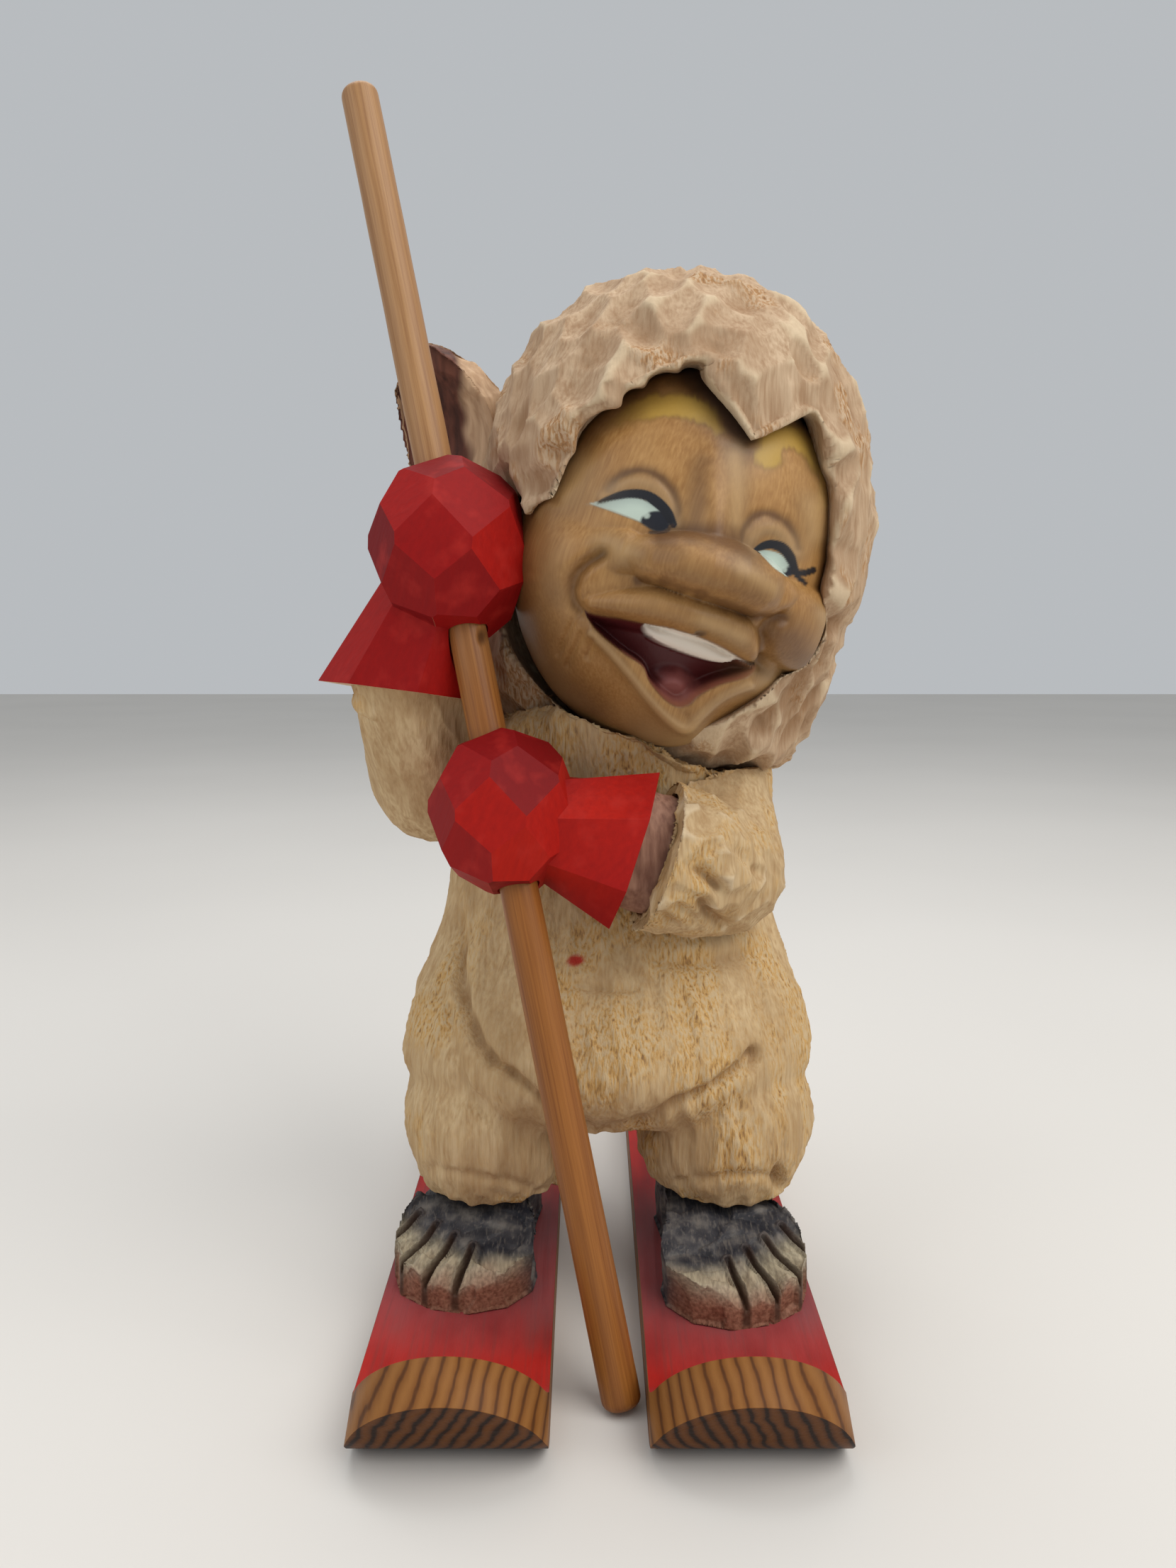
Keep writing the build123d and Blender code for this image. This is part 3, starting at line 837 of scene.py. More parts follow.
@dataclass(frozen=True)
class RingedPine:
    """Pine with dark growth rings, red paint on the deck, worn round the foot, and painted shade darkening
    the faces that look downwards.
    """

    name: str
    foot: Triple
    lean: float
    fibre: Triple = (124, 80, 40)
    scratch: Triple = (126, 46, 40)
    worn: Triple = (132, 84, 86)

    def rings(self, shader: Shader) -> Socket:
        """Lines of the growth rings, which wander and lean.

        Args:
            shader: the finish being built.
        Returns:
            The factor output, 0 on a dark line.
        """
        feeds = {"Scale": 1.0, "Distortion": 4.6, "Detail": 3.0, "Detail Scale": 0.7,
                 "Vector": shader.place((94, 14, 170), (0.0, self.lean, 0.0))}
        kind = {"wave_type": "BANDS", "bands_direction": "X", "wave_profile": "SIN"}
        return shader.node("ShaderNodeTexWave", feeds, **kind).outputs["Fac"]

    def material(self) -> Material:
        """Builds the finish.

        Returns:
            The material.
        """
        shader = Shader(self.name)
        ring = self.rings(shader)
        wood = shader.ramp(ring, (0.0, 74, 42, 20), (0.05, 88, 52, 25), (0.17, 120, 75, 34),
                           (1.0, 141, 94, 47))
        # painted shade: darker copy of the wood for the faces that look downwards
        lower = shader.ramp(ring, (0.0, 32, 15, 6), (0.1, 42, 21, 8), (0.3, 76, 42, 16), (1.0, 97, 56, 22))
        fibre = shader.noise((1100, 60, 1100), 3)
        wood = shader.mix(shader.times(fibre, 0.3), wood, self.fibre)
        wood = shader.mix(shader.mark("sole"), wood, lower)
        cloud = shader.noise((90, 34, 90), 5)
        red = shader.ramp(cloud, (0.32, 142, 26, 24), (0.52, 168, 34, 28), (0.74, 154, 46, 38))
        scratch = shader.noise((1200, 40, 400), 4)
        red = shader.mix(shader.fade(scratch, 0.5, 0.72, 0.0, 0.5), red, self.scratch)
        spot = shader.node("ShaderNodeTexCoord", {}).outputs["Object"]
        feeds = {0: spot, 1: [value * MM for value in self.foot]}
        far = shader.node("ShaderNodeVectorMath", feeds, operation="DISTANCE").outputs["Value"]
        near = shader.fade(shader.times(far, 12.0), 0.3, 0.62, 1.0, 0.0)
        red = shader.mix(shader.times(near, shader.add(cloud, 0.1), True), red, self.worn)
        colour = shader.mix(shader.mark("deck"), wood, red)
        shader.bump(shader.add(shader.times(ring, 0.5), fibre), 0.0004, 0.25)
        return shader.done(colour, 0.5, 0.02, 0.14)


@dataclass(frozen=True)
class PoleWax:
    """Round waxed dowel, paler towards its top."""

    name: str = "pole_wax"
    lean: Triple = (-0.2095, -0.208, 0.0)
    nick: Triple = (70, 42, 22)

    def material(self) -> Material:
        """Builds the finish.

        Returns:
            The material.
        """
        shader = Shader(self.name)
        streak = shader.noise((900, 900, 9), 4, self.lean)
        fine = shader.noise((3200, 3200, 60), 3, self.lean)
        grain = shader.add(shader.times(streak, 0.6), shader.times(fine, 0.4))
        low = shader.ramp(grain, (0.34, 118, 66, 22), (0.62, 150, 94, 40))
        high = shader.ramp(grain, (0.34, 140, 98, 60), (0.62, 170, 128, 84))
        colour = shader.mix(shader.mark("height"), low, high)
        colour = shader.mix(shader.mark("cut"), colour, self.nick)
        shader.bump(grain, 0.0003, 0.25)
        return shader.done(colour, 0.45, 0.05, 0.3)


@dataclass(frozen=True)
class FootStain:
    """Grey-black stained instep running out into pale and reddish toes."""

    name: str = "foot_stain"
    grey: Triple = (120, 112, 104)
    # painted shade for the cuts between the toes
    notch: Triple = (58, 38, 26)

    def material(self) -> Material:
        """Builds the finish.

        Returns:
            The material.
        """
        shader = Shader(self.name)
        streak = shader.noise((1200, 160, 1200), 4)
        cloud = shader.noise((170, 170, 170), 4)
        pale = shader.ramp(streak, (0.34, 140, 129, 108), (0.64, 178, 166, 140))
        flesh = shader.ramp(streak, (0.34, 112, 72, 54), (0.64, 148, 104, 82))
        dark = shader.ramp(cloud, (0.34, 38, 38, 44), (0.52, 66, 64, 66), (0.7, 112, 106, 100))
        dark = shader.mix(shader.fade(streak, 0.52, 0.7, 0.0, 0.5), dark, self.grey)
        colour = shader.mix(shader.mark("flesh"), pale, flesh)
        colour = shader.mix(shader.mark("dark"), colour, dark)
        colour = shader.mix(shader.mark("cut"), colour, self.notch)
        shader.bump(streak, 0.0004, 0.4)
        return shader.done(colour, 0.6)


@dataclass(frozen=True)
class EarStain:
    """Pale cut wood outside, dark red-brown stain inside."""

    name: str = "ear_stain"
    # painted shade for the deeper gouge scoops
    hollow: Triple = (96, 62, 44)

    def material(self) -> Material:
        """Builds the finish.

        Returns:
            The material.
        """
        shader = Shader(self.name)
        streak = shader.noise((460, 460, 60), 4)
        pale = shader.ramp(streak, (0.32, 176, 142, 110), (0.64, 204, 172, 138))
        dark = shader.ramp(streak, (0.32, 66, 38, 30), (0.66, 104, 62, 48))
        colour = shader.mix(shader.mark("dark"), pale, dark)
        colour = shader.mix(shader.mark("cut"), colour, self.hollow)
        shader.bump(streak, 0.0005, 0.3)
        return shader.done(colour, 0.66)


@dataclass(frozen=True)
class PlainGrain:
    """One streaked colour: the thin stain of the wrists, beech, or steel."""

    name: str
    low: Triple
    high: Triple
    cells: Triple = (900, 900, 120)
    detail: float = 3
    top: float = 0.7
    relief: tuple[float, float] = (0.0002, 0.2)
    rough: float = 0.6
    metal: float = 0.0

    def material(self) -> Material:
        """Builds the finish.

        Returns:
            The material.
        """
        shader = Shader(self.name)
        streak = shader.noise(self.cells, self.detail)
        colour = shader.ramp(streak, (0.3, *self.low), (self.top, *self.high))
        shader.feed(shader.main.inputs["Metallic"], self.metal)
        shader.bump(streak, *self.relief)
        return shader.done(colour, self.rough)


class Coats:
    """Coats of paint laid one over another."""

    def __init__(self, seen: Array) -> None:
        """Starts with bare wood, paintable where it is seen."""
        self.seen = seen
        self.colours = np.zeros((len(seen), 4))

    def lay(self, cover: Array, *shade: float) -> None:
        """Lays one coat.

        Args:
            cover: how thick it is, 0 to 1.
            shade: its red, green and blue, 0 to 255.
        """
        cover = np.clip(cover * self.seen, 0, 1)[:, None]
        self.colours[:, :3] = self.colours[:, :3] * (1 - cover) + np.array(srgb(*shade)[:3]) * cover
        self.colours[:, 3:] = self.colours[:, 3:] + (1 - self.colours[:, 3:]) * cover


@dataclass
class Head:
    """Face block, hood and ear.

    Marks are in the photograph's pixels, lengths in millimetres and angles in degrees.
    """

    at: Triple = (19.5 + SHIFT_X, -9.0, 206.5)
    roll: float = 18.0
    yaw: float = 8.0
    semi: Triple = (40.5, 40.5, 50.0)
    segments: int = 400
    rings: int = 222
    front_rings: int = 190
    front_angle: float = 100.0
    middle: Triple = (21.0 + SHIFT_X, 3.0, 212.0)
    crown: Triple = (24.0 + SHIFT_X, 22.0, 288.0)
    eyes: tuple = (
        ((829, 712), (850, 708), (873, 704), (896, 703), (919, 711), (934, 723), (943, 739), (937, 748),
         (922, 748), (904, 738), (881, 729), (854, 719)),
        ((1057, 782), (1076, 776), (1097, 781), (1110, 796), (1115, 808), (1103, 812), (1082, 807),
         (1066, 798)),
    )
    lids: tuple = (
        ((846, 710), (865, 703), (888, 698), (911, 700), (930, 712), (942, 726), (950, 741)),
        ((1057, 779), (1070, 772), (1084, 768), (1099, 772), (1110, 784), (1119, 805)),
    )
    # Place, half width and half height
    pupils: tuple = ((926, 737, 22.0, 15.0), (1110, 809, 12.0, 10.0))
    folds: tuple = (
        ((860, 693), (873, 676), (900, 665), (927, 672), (946, 691), (955, 714), (953, 736)),
        ((1043, 771), (1045, 748), (1061, 729), (1080, 725), (1103, 736), (1118, 756), (1122, 773)),
    )
    brows: tuple = (
        ((862, 604), (888, 591), (919, 580), (950, 577), (980, 583), (999, 595), (1009, 612)),
        ((1080, 648), (1085, 628), (1104, 619), (1126, 628), (1146, 645), (1156, 668), (1160, 694),
         (1157, 712)),
    )
    brow_widths: tuple = ((1.0, 2.6, 2.9, 2.6, 1.2), (3.0, 3.0, 2.4, 2.0, 1.4))
    brow_covers: tuple = ((0.3, 1.0, 1.0, 0.7), (1.0, 1.0, 0.9, 0.5))
    bridge: tuple = ((1011, 641), (1007, 694), (1003, 748), (1001, 790))
    nose: tuple = ((919, 794), (950, 798), (988, 807), (1026, 819), (1057, 832), (1074, 841))
    nose_widths: tuple = (4.8, 5.8, 6.5, 6.5, 6.1, 5.2)
    nose_rises: tuple = (7.5, 10.5, 12.5, 13.0, 12.0, 9.0)
    nose_over: float = 1.4
    muzzle: tuple = ((839, 849), (881, 851), (927, 855), (969, 865), (1011, 878), (1047, 899))
    muzzle_widths: tuple = (2.4, 3.6, 4.6, 5.0, 5.2, 4.8)
    muzzle_rises: tuple = (4.0, 5.5, 7.0, 8.0, 8.0, 6.5)
    bag: tuple = ((850, 772), (880, 778), (905, 786))
    right_cheek: tuple = (792, 800)
    left_cheek: tuple = ((1098, 872), (1124, 886))
    chin: tuple = (955, 1030)
    tongue: tuple = (952, 968)
    tongue_paint: tuple = (958, 966)
    eye_corner: tuple = ((948, 742), (938, 751), (918, 752))
    brow_drop: float = 16
    lip_line: tuple = (
        (821, 857), (846, 865), (881, 871), (911, 877), (942, 880), (973, 888), (1003, 901), (1034, 918),
        (1063, 934),
    )
    lip_edge: tuple = (
        (821, 857), (846, 889), (881, 920), (906, 938), (915, 957), (934, 978), (953, 988), (969, 985),
        (984, 974), (1011, 960), (1038, 949), (1063, 936),
    )
    lip_rim: tuple = (
        (838, 890), (860, 912), (885, 941), (911, 972), (938, 997), (961, 1008), (980, 995), (1011, 973),
        (1045, 954),
    )
    teeth_edge: tuple = ((908, 880), (923, 897), (950, 911), (980, 922), (1011, 929), (1038, 925))
    teeth_from: int = 24
    laugh: tuple = ((852, 782), (832, 796), (818, 812), (812, 832), (814, 848), (822, 860))
    fold_right: tuple = ((1082, 862), (1068, 874), (1061, 897), (1064, 931))
    chip: tuple = (980.0, 886.0)
    # Place, half width and rise
    jaw: tuple = (1098.0, 972.0, 11.0, 4.2)
    # Line, half width and rise
    swells: tuple = (
        (((856, 727), (885, 741), (915, 757)), 2.6, 1.8), (((1066, 806), (1088, 817), (1112, 822)), 2.4, 1.4),
        (((785, 711), (808, 707), (831, 710)), 0.8, -1.0),
    )
    # Line, half width and depth
    cuts: tuple = (
        (laugh, 1.5, 2.6), (fold_right, 1.5, 2.6), (((815, 869), (789, 921)), 0.7, 0.7),
        (((822, 893), (802, 937)), 0.7, 0.7), (((838, 900), (830, 925)), 0.7, 0.7),
    )
    # Line and half width
    lashes: tuple = (
        (((1117, 806), (1130, 808), (1143, 804)), 0.85), (((1120, 812), (1126, 817), (1132, 822)), 0.6),
    )
    shadows: tuple = (
        ((962, 522), (990, 545), (1015, 580), (1044, 618)), ((1110, 582), (1140, 606), (1158, 650)),
    )
    # Painted highlights: line and half width
    lights: tuple = (
        (((1032, 650), (1036, 690), (1034, 735)), 3.0), (((858, 770), (885, 782)), 4.0),
        (((985, 868), (1030, 888)), 2.6), (((1024, 800), (1060, 822)), 2.6),
        (((1138, 860), (1150, 900)), 3.0), (((1140, 716), (1147, 752)), 4.2),
        (((1075, 955), (1098, 968)), 6.0), (((920, 1030), (975, 1030)), 6.0),
        (((800, 690), (812, 660)), 6.0),
    )
    # Brown glaze in the folds and painted shade under the hood, along the face's edges and under the nose and
    # chin: line, half width and strength
    glaze_and_shade_lines: tuple = (
        (laugh, 1.6, 0.6), (fold_right, 2.0, 0.7), (((1085, 885), (1100, 905), (1108, 920)), 6.0, 0.72),
        (((930, 760), (965, 752), (1000, 757), (1040, 774)), 3.8, 0.8),
        (((986, 655), (984, 700), (976, 748)), 3.0, 0.5), (((925, 776), (950, 782)), 4.0, 0.45),
        (((955, 806), (1000, 820), (1035, 834)), 5.0, 0.42), (((850, 858), (900, 860), (950, 868)), 3.6, 0.4),
        (((762, 750), (772, 800), (784, 840)), 6.0, 0.55),
        (((898, 816), (946, 822), (999, 840), (1051, 862), (1085, 864)), 1.6, 0.75),
        (((960, 512), (985, 540), (1010, 575), (1040, 618)), 6.0, 0.92),
        (((1085, 590), (1120, 580), (1145, 605), (1160, 650)), 4.5, 0.8),
        (((770, 680), (800, 635), (850, 585), (920, 540), (960, 518)), 4.5, 0.6),
        (((742, 740), (748, 850), (775, 940), (830, 1000)), 9.0, 0.7),
        (((1172, 660), (1174, 760), (1165, 860)), 2.6, 0.6),
        (((850, 1022), (930, 1046), (1010, 1034), (1090, 985)), 4.0, 0.45),
        (((823, 870), (846, 902), (870, 930)), 2.4, 0.35), (((1062, 938), (1075, 944)), 2.2, 0.7),
    )
    # Place and radius in pixels, then rise, push aside and lift
    lobes: tuple = (
        (745, 650, 38, 2.0, -1.8, 2.6), (815, 612, 44, 2.0, -2.4, 4.6), (872, 556, 34, 1.8, -0.8, 2.0),
        (1045, 500, 62, 2.6, 0.0, -0.6), (1125, 560, 26, 0.5, 0.0, 2.2), (1180, 640, 44, 2.2, -0.4, 0.0),
        (1205, 735, 46, 2.4, -0.4, 0.0), (1203, 830, 40, 2.0, -0.6, 0.4), (748, 735, 34, 1.6, -1.2, 2.6),
        (706, 900, 60, 1.5, -4.5, 0.0), (712, 980, 50, 1.5, -4.0, 0.0), (1092, 1055, 48, 0.8, 0.0, -3.8),
    )
    # As for the lobes, but small and pushed after the rubbing
    locks: tuple = (
        (796, 630, 13, 0.3, 1.6, -0.9), (789, 606, 10, -0.2, -1.2, 1.2), (864, 566, 13, 0.3, 1.5, -1.0),
        (857, 549, 10, -0.2, -1.0, 1.2), (905, 544, 11, 0.3, 1.1, -0.8), (950, 516, 11, 0.3, 1.0, -0.9),
        (1172, 660, 11, 0.2, -1.0, 0.4), (1182, 775, 12, 0.2, -1.1, 0.3),
    )
    rim: tuple = (
        (739, 706), (758, 665), (793, 614), (862, 560), (900, 541), (946, 511), (988, 505), (1003, 514),
        (1025, 560), (1045, 608), (1060, 616), (1087, 602), (1122, 564), (1145, 595), (1166, 645),
        (1177, 694), (1180, 760), (1172, 830), (1160, 868),
    )
    # Line, half width and depth
    cape_cuts: tuple = (
        (((1196, 925), (1160, 985), (1105, 1050)), 2.2, 2.4),
        (((1172, 928), (1135, 985), (1085, 1040)), 2.0, 2.0),
        (((1150, 950), (1110, 1000), (1068, 1045)), 1.8, 1.8),
        (((1208, 955), (1175, 1010), (1125, 1062)), 2.0, 1.8),
        (((1232, 872), (1205, 888), (1176, 889)), 2.6, 3.0),
    )
    scoop: Gouge = Gouge(10.0, 6.8, 2.7, 8.2, 11, 0.45, Stroke.CROWN, crown)
    nick: Gouge = Gouge(5.5, 3.2, 1.0, 4.6, 12, 0.8, Stroke.CROWN, crown)
    ear_cut: Gouge = Gouge(9, 5, 1.2, 5.0, 21)
    ear_stain: tuple = (655, 638)
    ear_stain_row: float = 480
    ear_stain_lean: float = 0.08

    def turn(self) -> Array:
        """Rotation from the head's own axes to the figure's.

        Returns:
            The 3 by 3 matrix.
        """
        a, b = math.radians(self.roll), math.radians(self.yaw)
        roll = np.array([[math.cos(a), 0, math.sin(a)], [0, 1, 0], [-math.sin(a), 0, math.cos(a)]])
        yaw = np.array([[math.cos(b), -math.sin(b), 0], [math.sin(b), math.cos(b), 0], [0, 0, 1]])
        return roll @ yaw

    def blank(self) -> Block:
        """Egg-shaped blank whose fine rings lie round the front of the face.

        Returns:
            The blank in its place.
        """
        bpy.ops.object.select_all(action="DESELECT")
        bpy.ops.mesh.primitive_uv_sphere_add(segments=self.segments, ring_count=self.rings, radius=1.0)
        obj = bpy.context.view_layer.objects.active
        obj.name = obj.data.name = "face_carved"
        bpy.ops.object.shade_smooth()
        block = Block(obj, "face")
        ball = block.points() * MM
        angle = np.degrees(np.arccos(np.clip(ball[:, 2], -1, 1)))
        share = angle / 180 * self.rings
        fine = share / self.front_rings * self.front_angle
        back = (share - self.front_rings) / (self.rings - self.front_rings)
        coarse = self.front_angle + back * (180 - self.front_angle)
        polar = np.radians(np.where(share < self.front_rings, fine, coarse))
        around = np.arctan2(ball[:, 1], ball[:, 0])
        ways = [np.sin(polar) * np.cos(around), -np.cos(polar), np.sin(polar) * np.sin(around)]
        egg = np.stack(ways, axis=1) * np.array(self.semi)
        block.move(egg @ self.turn().T + np.array(self.at))
        block.work(lambda: bpy.ops.mesh.normals_make_consistent(inside=False))
        return block

    @staticmethod
    def tube(skin: Surface, line: Pixels, radii: Sequence[float], rises: Sequence[float],
             over: float = 1.0) -> Array:
        """Rounded ridge along a line.

        Args:
            skin: the face.
            line: the ridge's middle.
            radii, rises: half widths and heights along it.
            over: how much wider it is on the upper side.
        Returns:
            n heights.
        """
        distance, share = skin.gap(line)
        radius = along(share, radii) * (1 + (over - 1) * skin.above(line))
        return along(share, rises) * np.sqrt(np.clip(1 - (distance / radius) ** 2, 0, 1))

    def mouth(self, skin: Surface) -> list[Array]:
        """Places of the mouth and of the teeth.

        Args:
            skin: the blank.
        Returns:
            Signed distances to both outlines, positive inside.
        """
        lip = curve(self.lip_line)
        pairs = ((lip, self.lip_edge), (lip[self.teeth_from:], self.teeth_edge))
        return [skin.area(np.vstack([upper, curve(lower)[::-1]])) for upper, lower in pairs]

    def relief(self, skin: Surface) -> tuple[Array, Array]:
        """Carved heights of the face.

        Args:
            skin: the blank.
        Returns:
            Heights, and the mouth's depth.
        """
        height = np.zeros(len(skin.points))
        for brow in self.brows:
            height += 1.8 * skin.stroke([(x, y + self.brow_drop) for x, y in brow], 6.5)
        for eye, lid, fold in zip(self.eyes, self.lids, self.folds):
            rim = skin.area(curve(eye + eye[:1]))
            height -= 3.2 * bell(np.maximum(-rim, 0), 5.5)
            height += 1.7 * np.sqrt(np.clip(rim / 3.0, 0, 1))
            height += 2.6 * skin.stroke(between(lid, fold), 2.3) * (rim < 0.2)
            height += 0.9 * skin.stroke(lid, 0.9) * (rim < 0.6)
            height -= 2.3 * skin.stroke(fold, 0.95)
        for line, wide, rise in self.swells:
            height += rise * skin.stroke(line, wide)
        height += 5.0 * bell(skin.dot(self.right_cheek), 14.0)
        bag = self.tube(skin, self.bag, (4.5, 5.5, 4.5), (2.5, 4.5, 4.0))
        height = soft_max(height, bag, 2.0)
        cheek = self.tube(skin, self.left_cheek, (9.5, 11.0), (7.0, 7.0))
        height = soft_max(height, cheek, 2.4)
        distance, share = skin.gap(self.bridge)
        height += (1.0 + 5.0 * share) * bell(distance, 5.2)
        muzzle = self.tube(skin, self.muzzle, self.muzzle_widths, self.muzzle_rises)
        height = soft_max(height, muzzle, 0.8)
        nose = self.tube(skin, self.nose, self.nose_widths, self.nose_rises, self.nose_over)
        height = soft_max(height, nose, 0.6 + 2.0 * skin.above(self.nose))
        for line, wide, deep in self.cuts:
            height -= deep * skin.stroke(line, wide)
        height += 4.2 * bell(skin.dot(self.chin), 11.0)
        mouth, teeth = self.mouth(skin)
        height += 2.0 * skin.stroke(self.lip_rim, 1.9) * (mouth < 0.6)
        flat = height * ease(2.5, -0.3, mouth) + 3.0 * ease(-0.3, 2.5, mouth)
        height = np.where(mouth > -0.3, flat, height)
        sink = 10.5 * ease(0.0, 2.4, mouth)
        sink -= 5.0 * ease(8.0, 2.0, skin.dot(self.tongue, (1.0, 1.3))) * ease(0.4, 2.0, mouth)
        sink = np.where(teeth > 0, 2.2 + 0.9 * ease(1.2, 0.0, teeth), sink)
        height -= 1.1 * ease(1.9, 0.4, skin.dot(self.chip, (1.0, 1.5)))
        return height, sink

    def brush_eyes(self, skin: Surface, coats: Coats) -> None:
        """Paints the eyes with their lids, pupils and lashes.

        Args:
            skin: the blank.
            coats: the paint so far.
        """
        for eye, lid, fold, (x, y, wide, high) in zip(self.eyes, self.lids, self.folds, self.pupils):
            rim = skin.area(curve(eye + eye[:1]))
            # painted highlight on the upper lid between the lid line and the fold
            coats.lay(0.6 * skin.stroke(between(lid, fold), 2.2), 206, 170, 124)
            distance, share = skin.gap(lid)
            coats.lay(ease(-0.25, 0.25, rim), 190, 205, 192)
            # painted shadow of the lid on the eye's white
            coats.lay(ease(4.0, 0.5, distance) * ease(-0.1, 0.3, rim) * 0.5, 130, 142, 138)
            reach = np.linalg.norm((skin.spots - np.array([x, y])) / np.array([wide, high]), axis=1)
            coats.lay(ease(-0.25, 0.25, (1 - reach) * high * skin.size) * ease(-0.5, 0.1, rim), 22, 25, 36)
            glint = skin.dot((x - wide * 0.62, y - high * 0.6))
            coats.lay(ease(1.0, 0.5, glint) * 0.8 * ease(0.0, 0.4, rim), 190, 205, 192)
            line = np.interp(share, (0, 0.25, 0.6, 0.85, 1), (0.3, 0.95, 1.3, 1.2, 0.8))
            coats.lay(ease(line + 0.22, line - 0.2, distance), 20, 21, 28)
        distance, _ = skin.gap(self.eye_corner)
        coats.lay(ease(0.6, 0.25, distance) * 0.8, 52, 34, 26)
        for lash, wide in self.lashes:
            coats.lay(ease(wide + 0.2, wide - 0.25, skin.gap(lash)[0]), 24, 23, 28)

    def brush(self, skin: Surface, height: Array) -> tuple[Array, Array]:
        """Painted eyes, brows and mouth, painted highlights and shadows, and the brown glaze in the folds
        with painted shade.

        Args:
            skin: the blank.
            height: the carved relief.
        Returns:
            Colours with cover, n by 4, and glaze with painted shade, n values.
        """
        flat = np.zeros(len(skin.spots))
        rough = Lattice(5).at(np.column_stack([skin.spots * 0.09, flat]))
        hairs = Lattice(6).at(np.column_stack([skin.spots[:, 0] * 0.30, skin.spots[:, 1] * 0.05, flat]))
        coats = Coats(ease(-0.05, 0.15, skin.front))
        for brow, widths, covers in zip(self.brows, self.brow_widths, self.brow_covers):
            distance, share = skin.gap(brow)
            wide = along(share, widths)
            ragged = distance + rough * 0.5 + hairs * 0.5
            coats.lay(ease(wide + 1.3, wide - 1.0, ragged) * 0.8 * along(share, covers), 196, 160, 70)
        self.brush_eyes(skin, coats)
        mouth, teeth = self.mouth(skin)
        coats.lay(ease(-0.2, 0.5, mouth), 78, 20, 22)
        tongue = skin.dot(self.tongue_paint, (1.0, 1.4))
        coats.lay(ease(7.0, 4.0, tongue + rough) * ease(0.2, 1.0, mouth) * 0.75, 150, 84, 80)
        lip = skin.gap(self.lip_edge[2:])[0]
        coats.lay(ease(1.5, 0.5, lip) * ease(-0.1, 0.5, mouth) * 0.6, 176, 108, 84)
        coats.lay(ease(-0.15, 0.3, teeth), 222, 212, 198)
        coats.lay(ease(1.7, 0.8, skin.dot(self.chip, (1.0, 1.5)) + rough * 0.5), 58, 38, 28)
        for line in self.shadows:
            coats.lay(0.85 * bell(skin.gap(line)[0] + rough * 0.5, 3.4), 48, 33, 28)
        # painted highlight along the lower lip's rim
        rim = skin.gap(self.lip_rim)[0]
        coats.lay(ease(1.7, 0.4, rim) * ease(0.4, -0.3, mouth) * 0.5, 224, 186, 134)
        # painted highlights along the listed lines
        for line, wide in self.lights:
            coats.lay(0.55 * skin.stroke(line, wide), 222, 184, 130)
        glaze_and_shade = np.zeros(len(skin.spots))
        for line, wide, much in self.glaze_and_shade_lines:
            glaze_and_shade = np.maximum(glaze_and_shade, much * bell(skin.gap(line)[0] + rough * 0.7, wide))
        for fold in self.folds:
            glaze_and_shade = np.maximum(glaze_and_shade, 0.8 * bell(skin.gap(fold)[0] + rough * 0.3, 1.15))
        # painted shade: low parts of the carved relief are darkened
        glaze_and_shade = np.maximum(glaze_and_shade, 0.4 * ease(0.3, -1.8, height))
        # painted shade: parts that turn away from the camera are darkened
        glaze_and_shade = np.maximum(glaze_and_shade, 0.9 * ease(0.1, -0.5, skin.front))
        return coats.colours, np.clip(glaze_and_shade, 0, 1)

    def build_face(self) -> None:
        """Carves and paints the face."""
        block = self.blank()
        skin = block.surface()
        near = ease(-0.1, 0.25, skin.front)
        height, sink = self.relief(skin)
        ahead = self.turn() @ np.array([0.0, -1.0, 0.0])
        way = skin.normals * 0.6 + ahead * 0.4
        way /= np.linalg.norm(way, axis=1)[:, None]
        knife = Lattice(3).layers(skin.points / 9.0, 2) * 0.22
        x, y, wide, rise = self.jaw
        full = rise * bell(skin.dot((x, y)), wide) * ease(-0.6, -0.2, skin.front)
        carved = skin.points + way * (height * near + knife)[:, None] + skin.normals * full[:, None]
        block.move(carved - ahead * (sink * near)[:, None])
        colours, glaze_and_shade = self.brush(skin, height)
        # painted shade: faces that look downwards are darkened through the glaze
        under = 0.28 * ease(0.05, -0.6, block.normals()[:, 2])
        block.mark(paint=colours, glaze_and_shade=np.maximum(glaze_and_shade, under))
        block.dress("face_wood", FaceVarnish().material())

    def swell(self, block: Block, lobes: tuple) -> None:
        """Raises lobes of the hood's rim and leans them over the face.

        Args:
            block: the hood.
            lobes: each one's place and radius in pixels, its rise and its push aside and up.
        """
        skin = block.surface()
        points = skin.points
        front = ease(-0.7, 0.1, skin.front)
        up = np.array([0.0, math.sin(LENS.tilt), math.cos(LENS.tilt)])
        for x, y, radius, rise, aside, lift in lobes:
            near = front * bell(from_spot(skin.spots, (x, y)), radius)
            lean = np.array([aside, 0.0, 0.0]) + up * lift
            points = points + (skin.normals * rise + lean) * near[:, None]
        block.move(points)

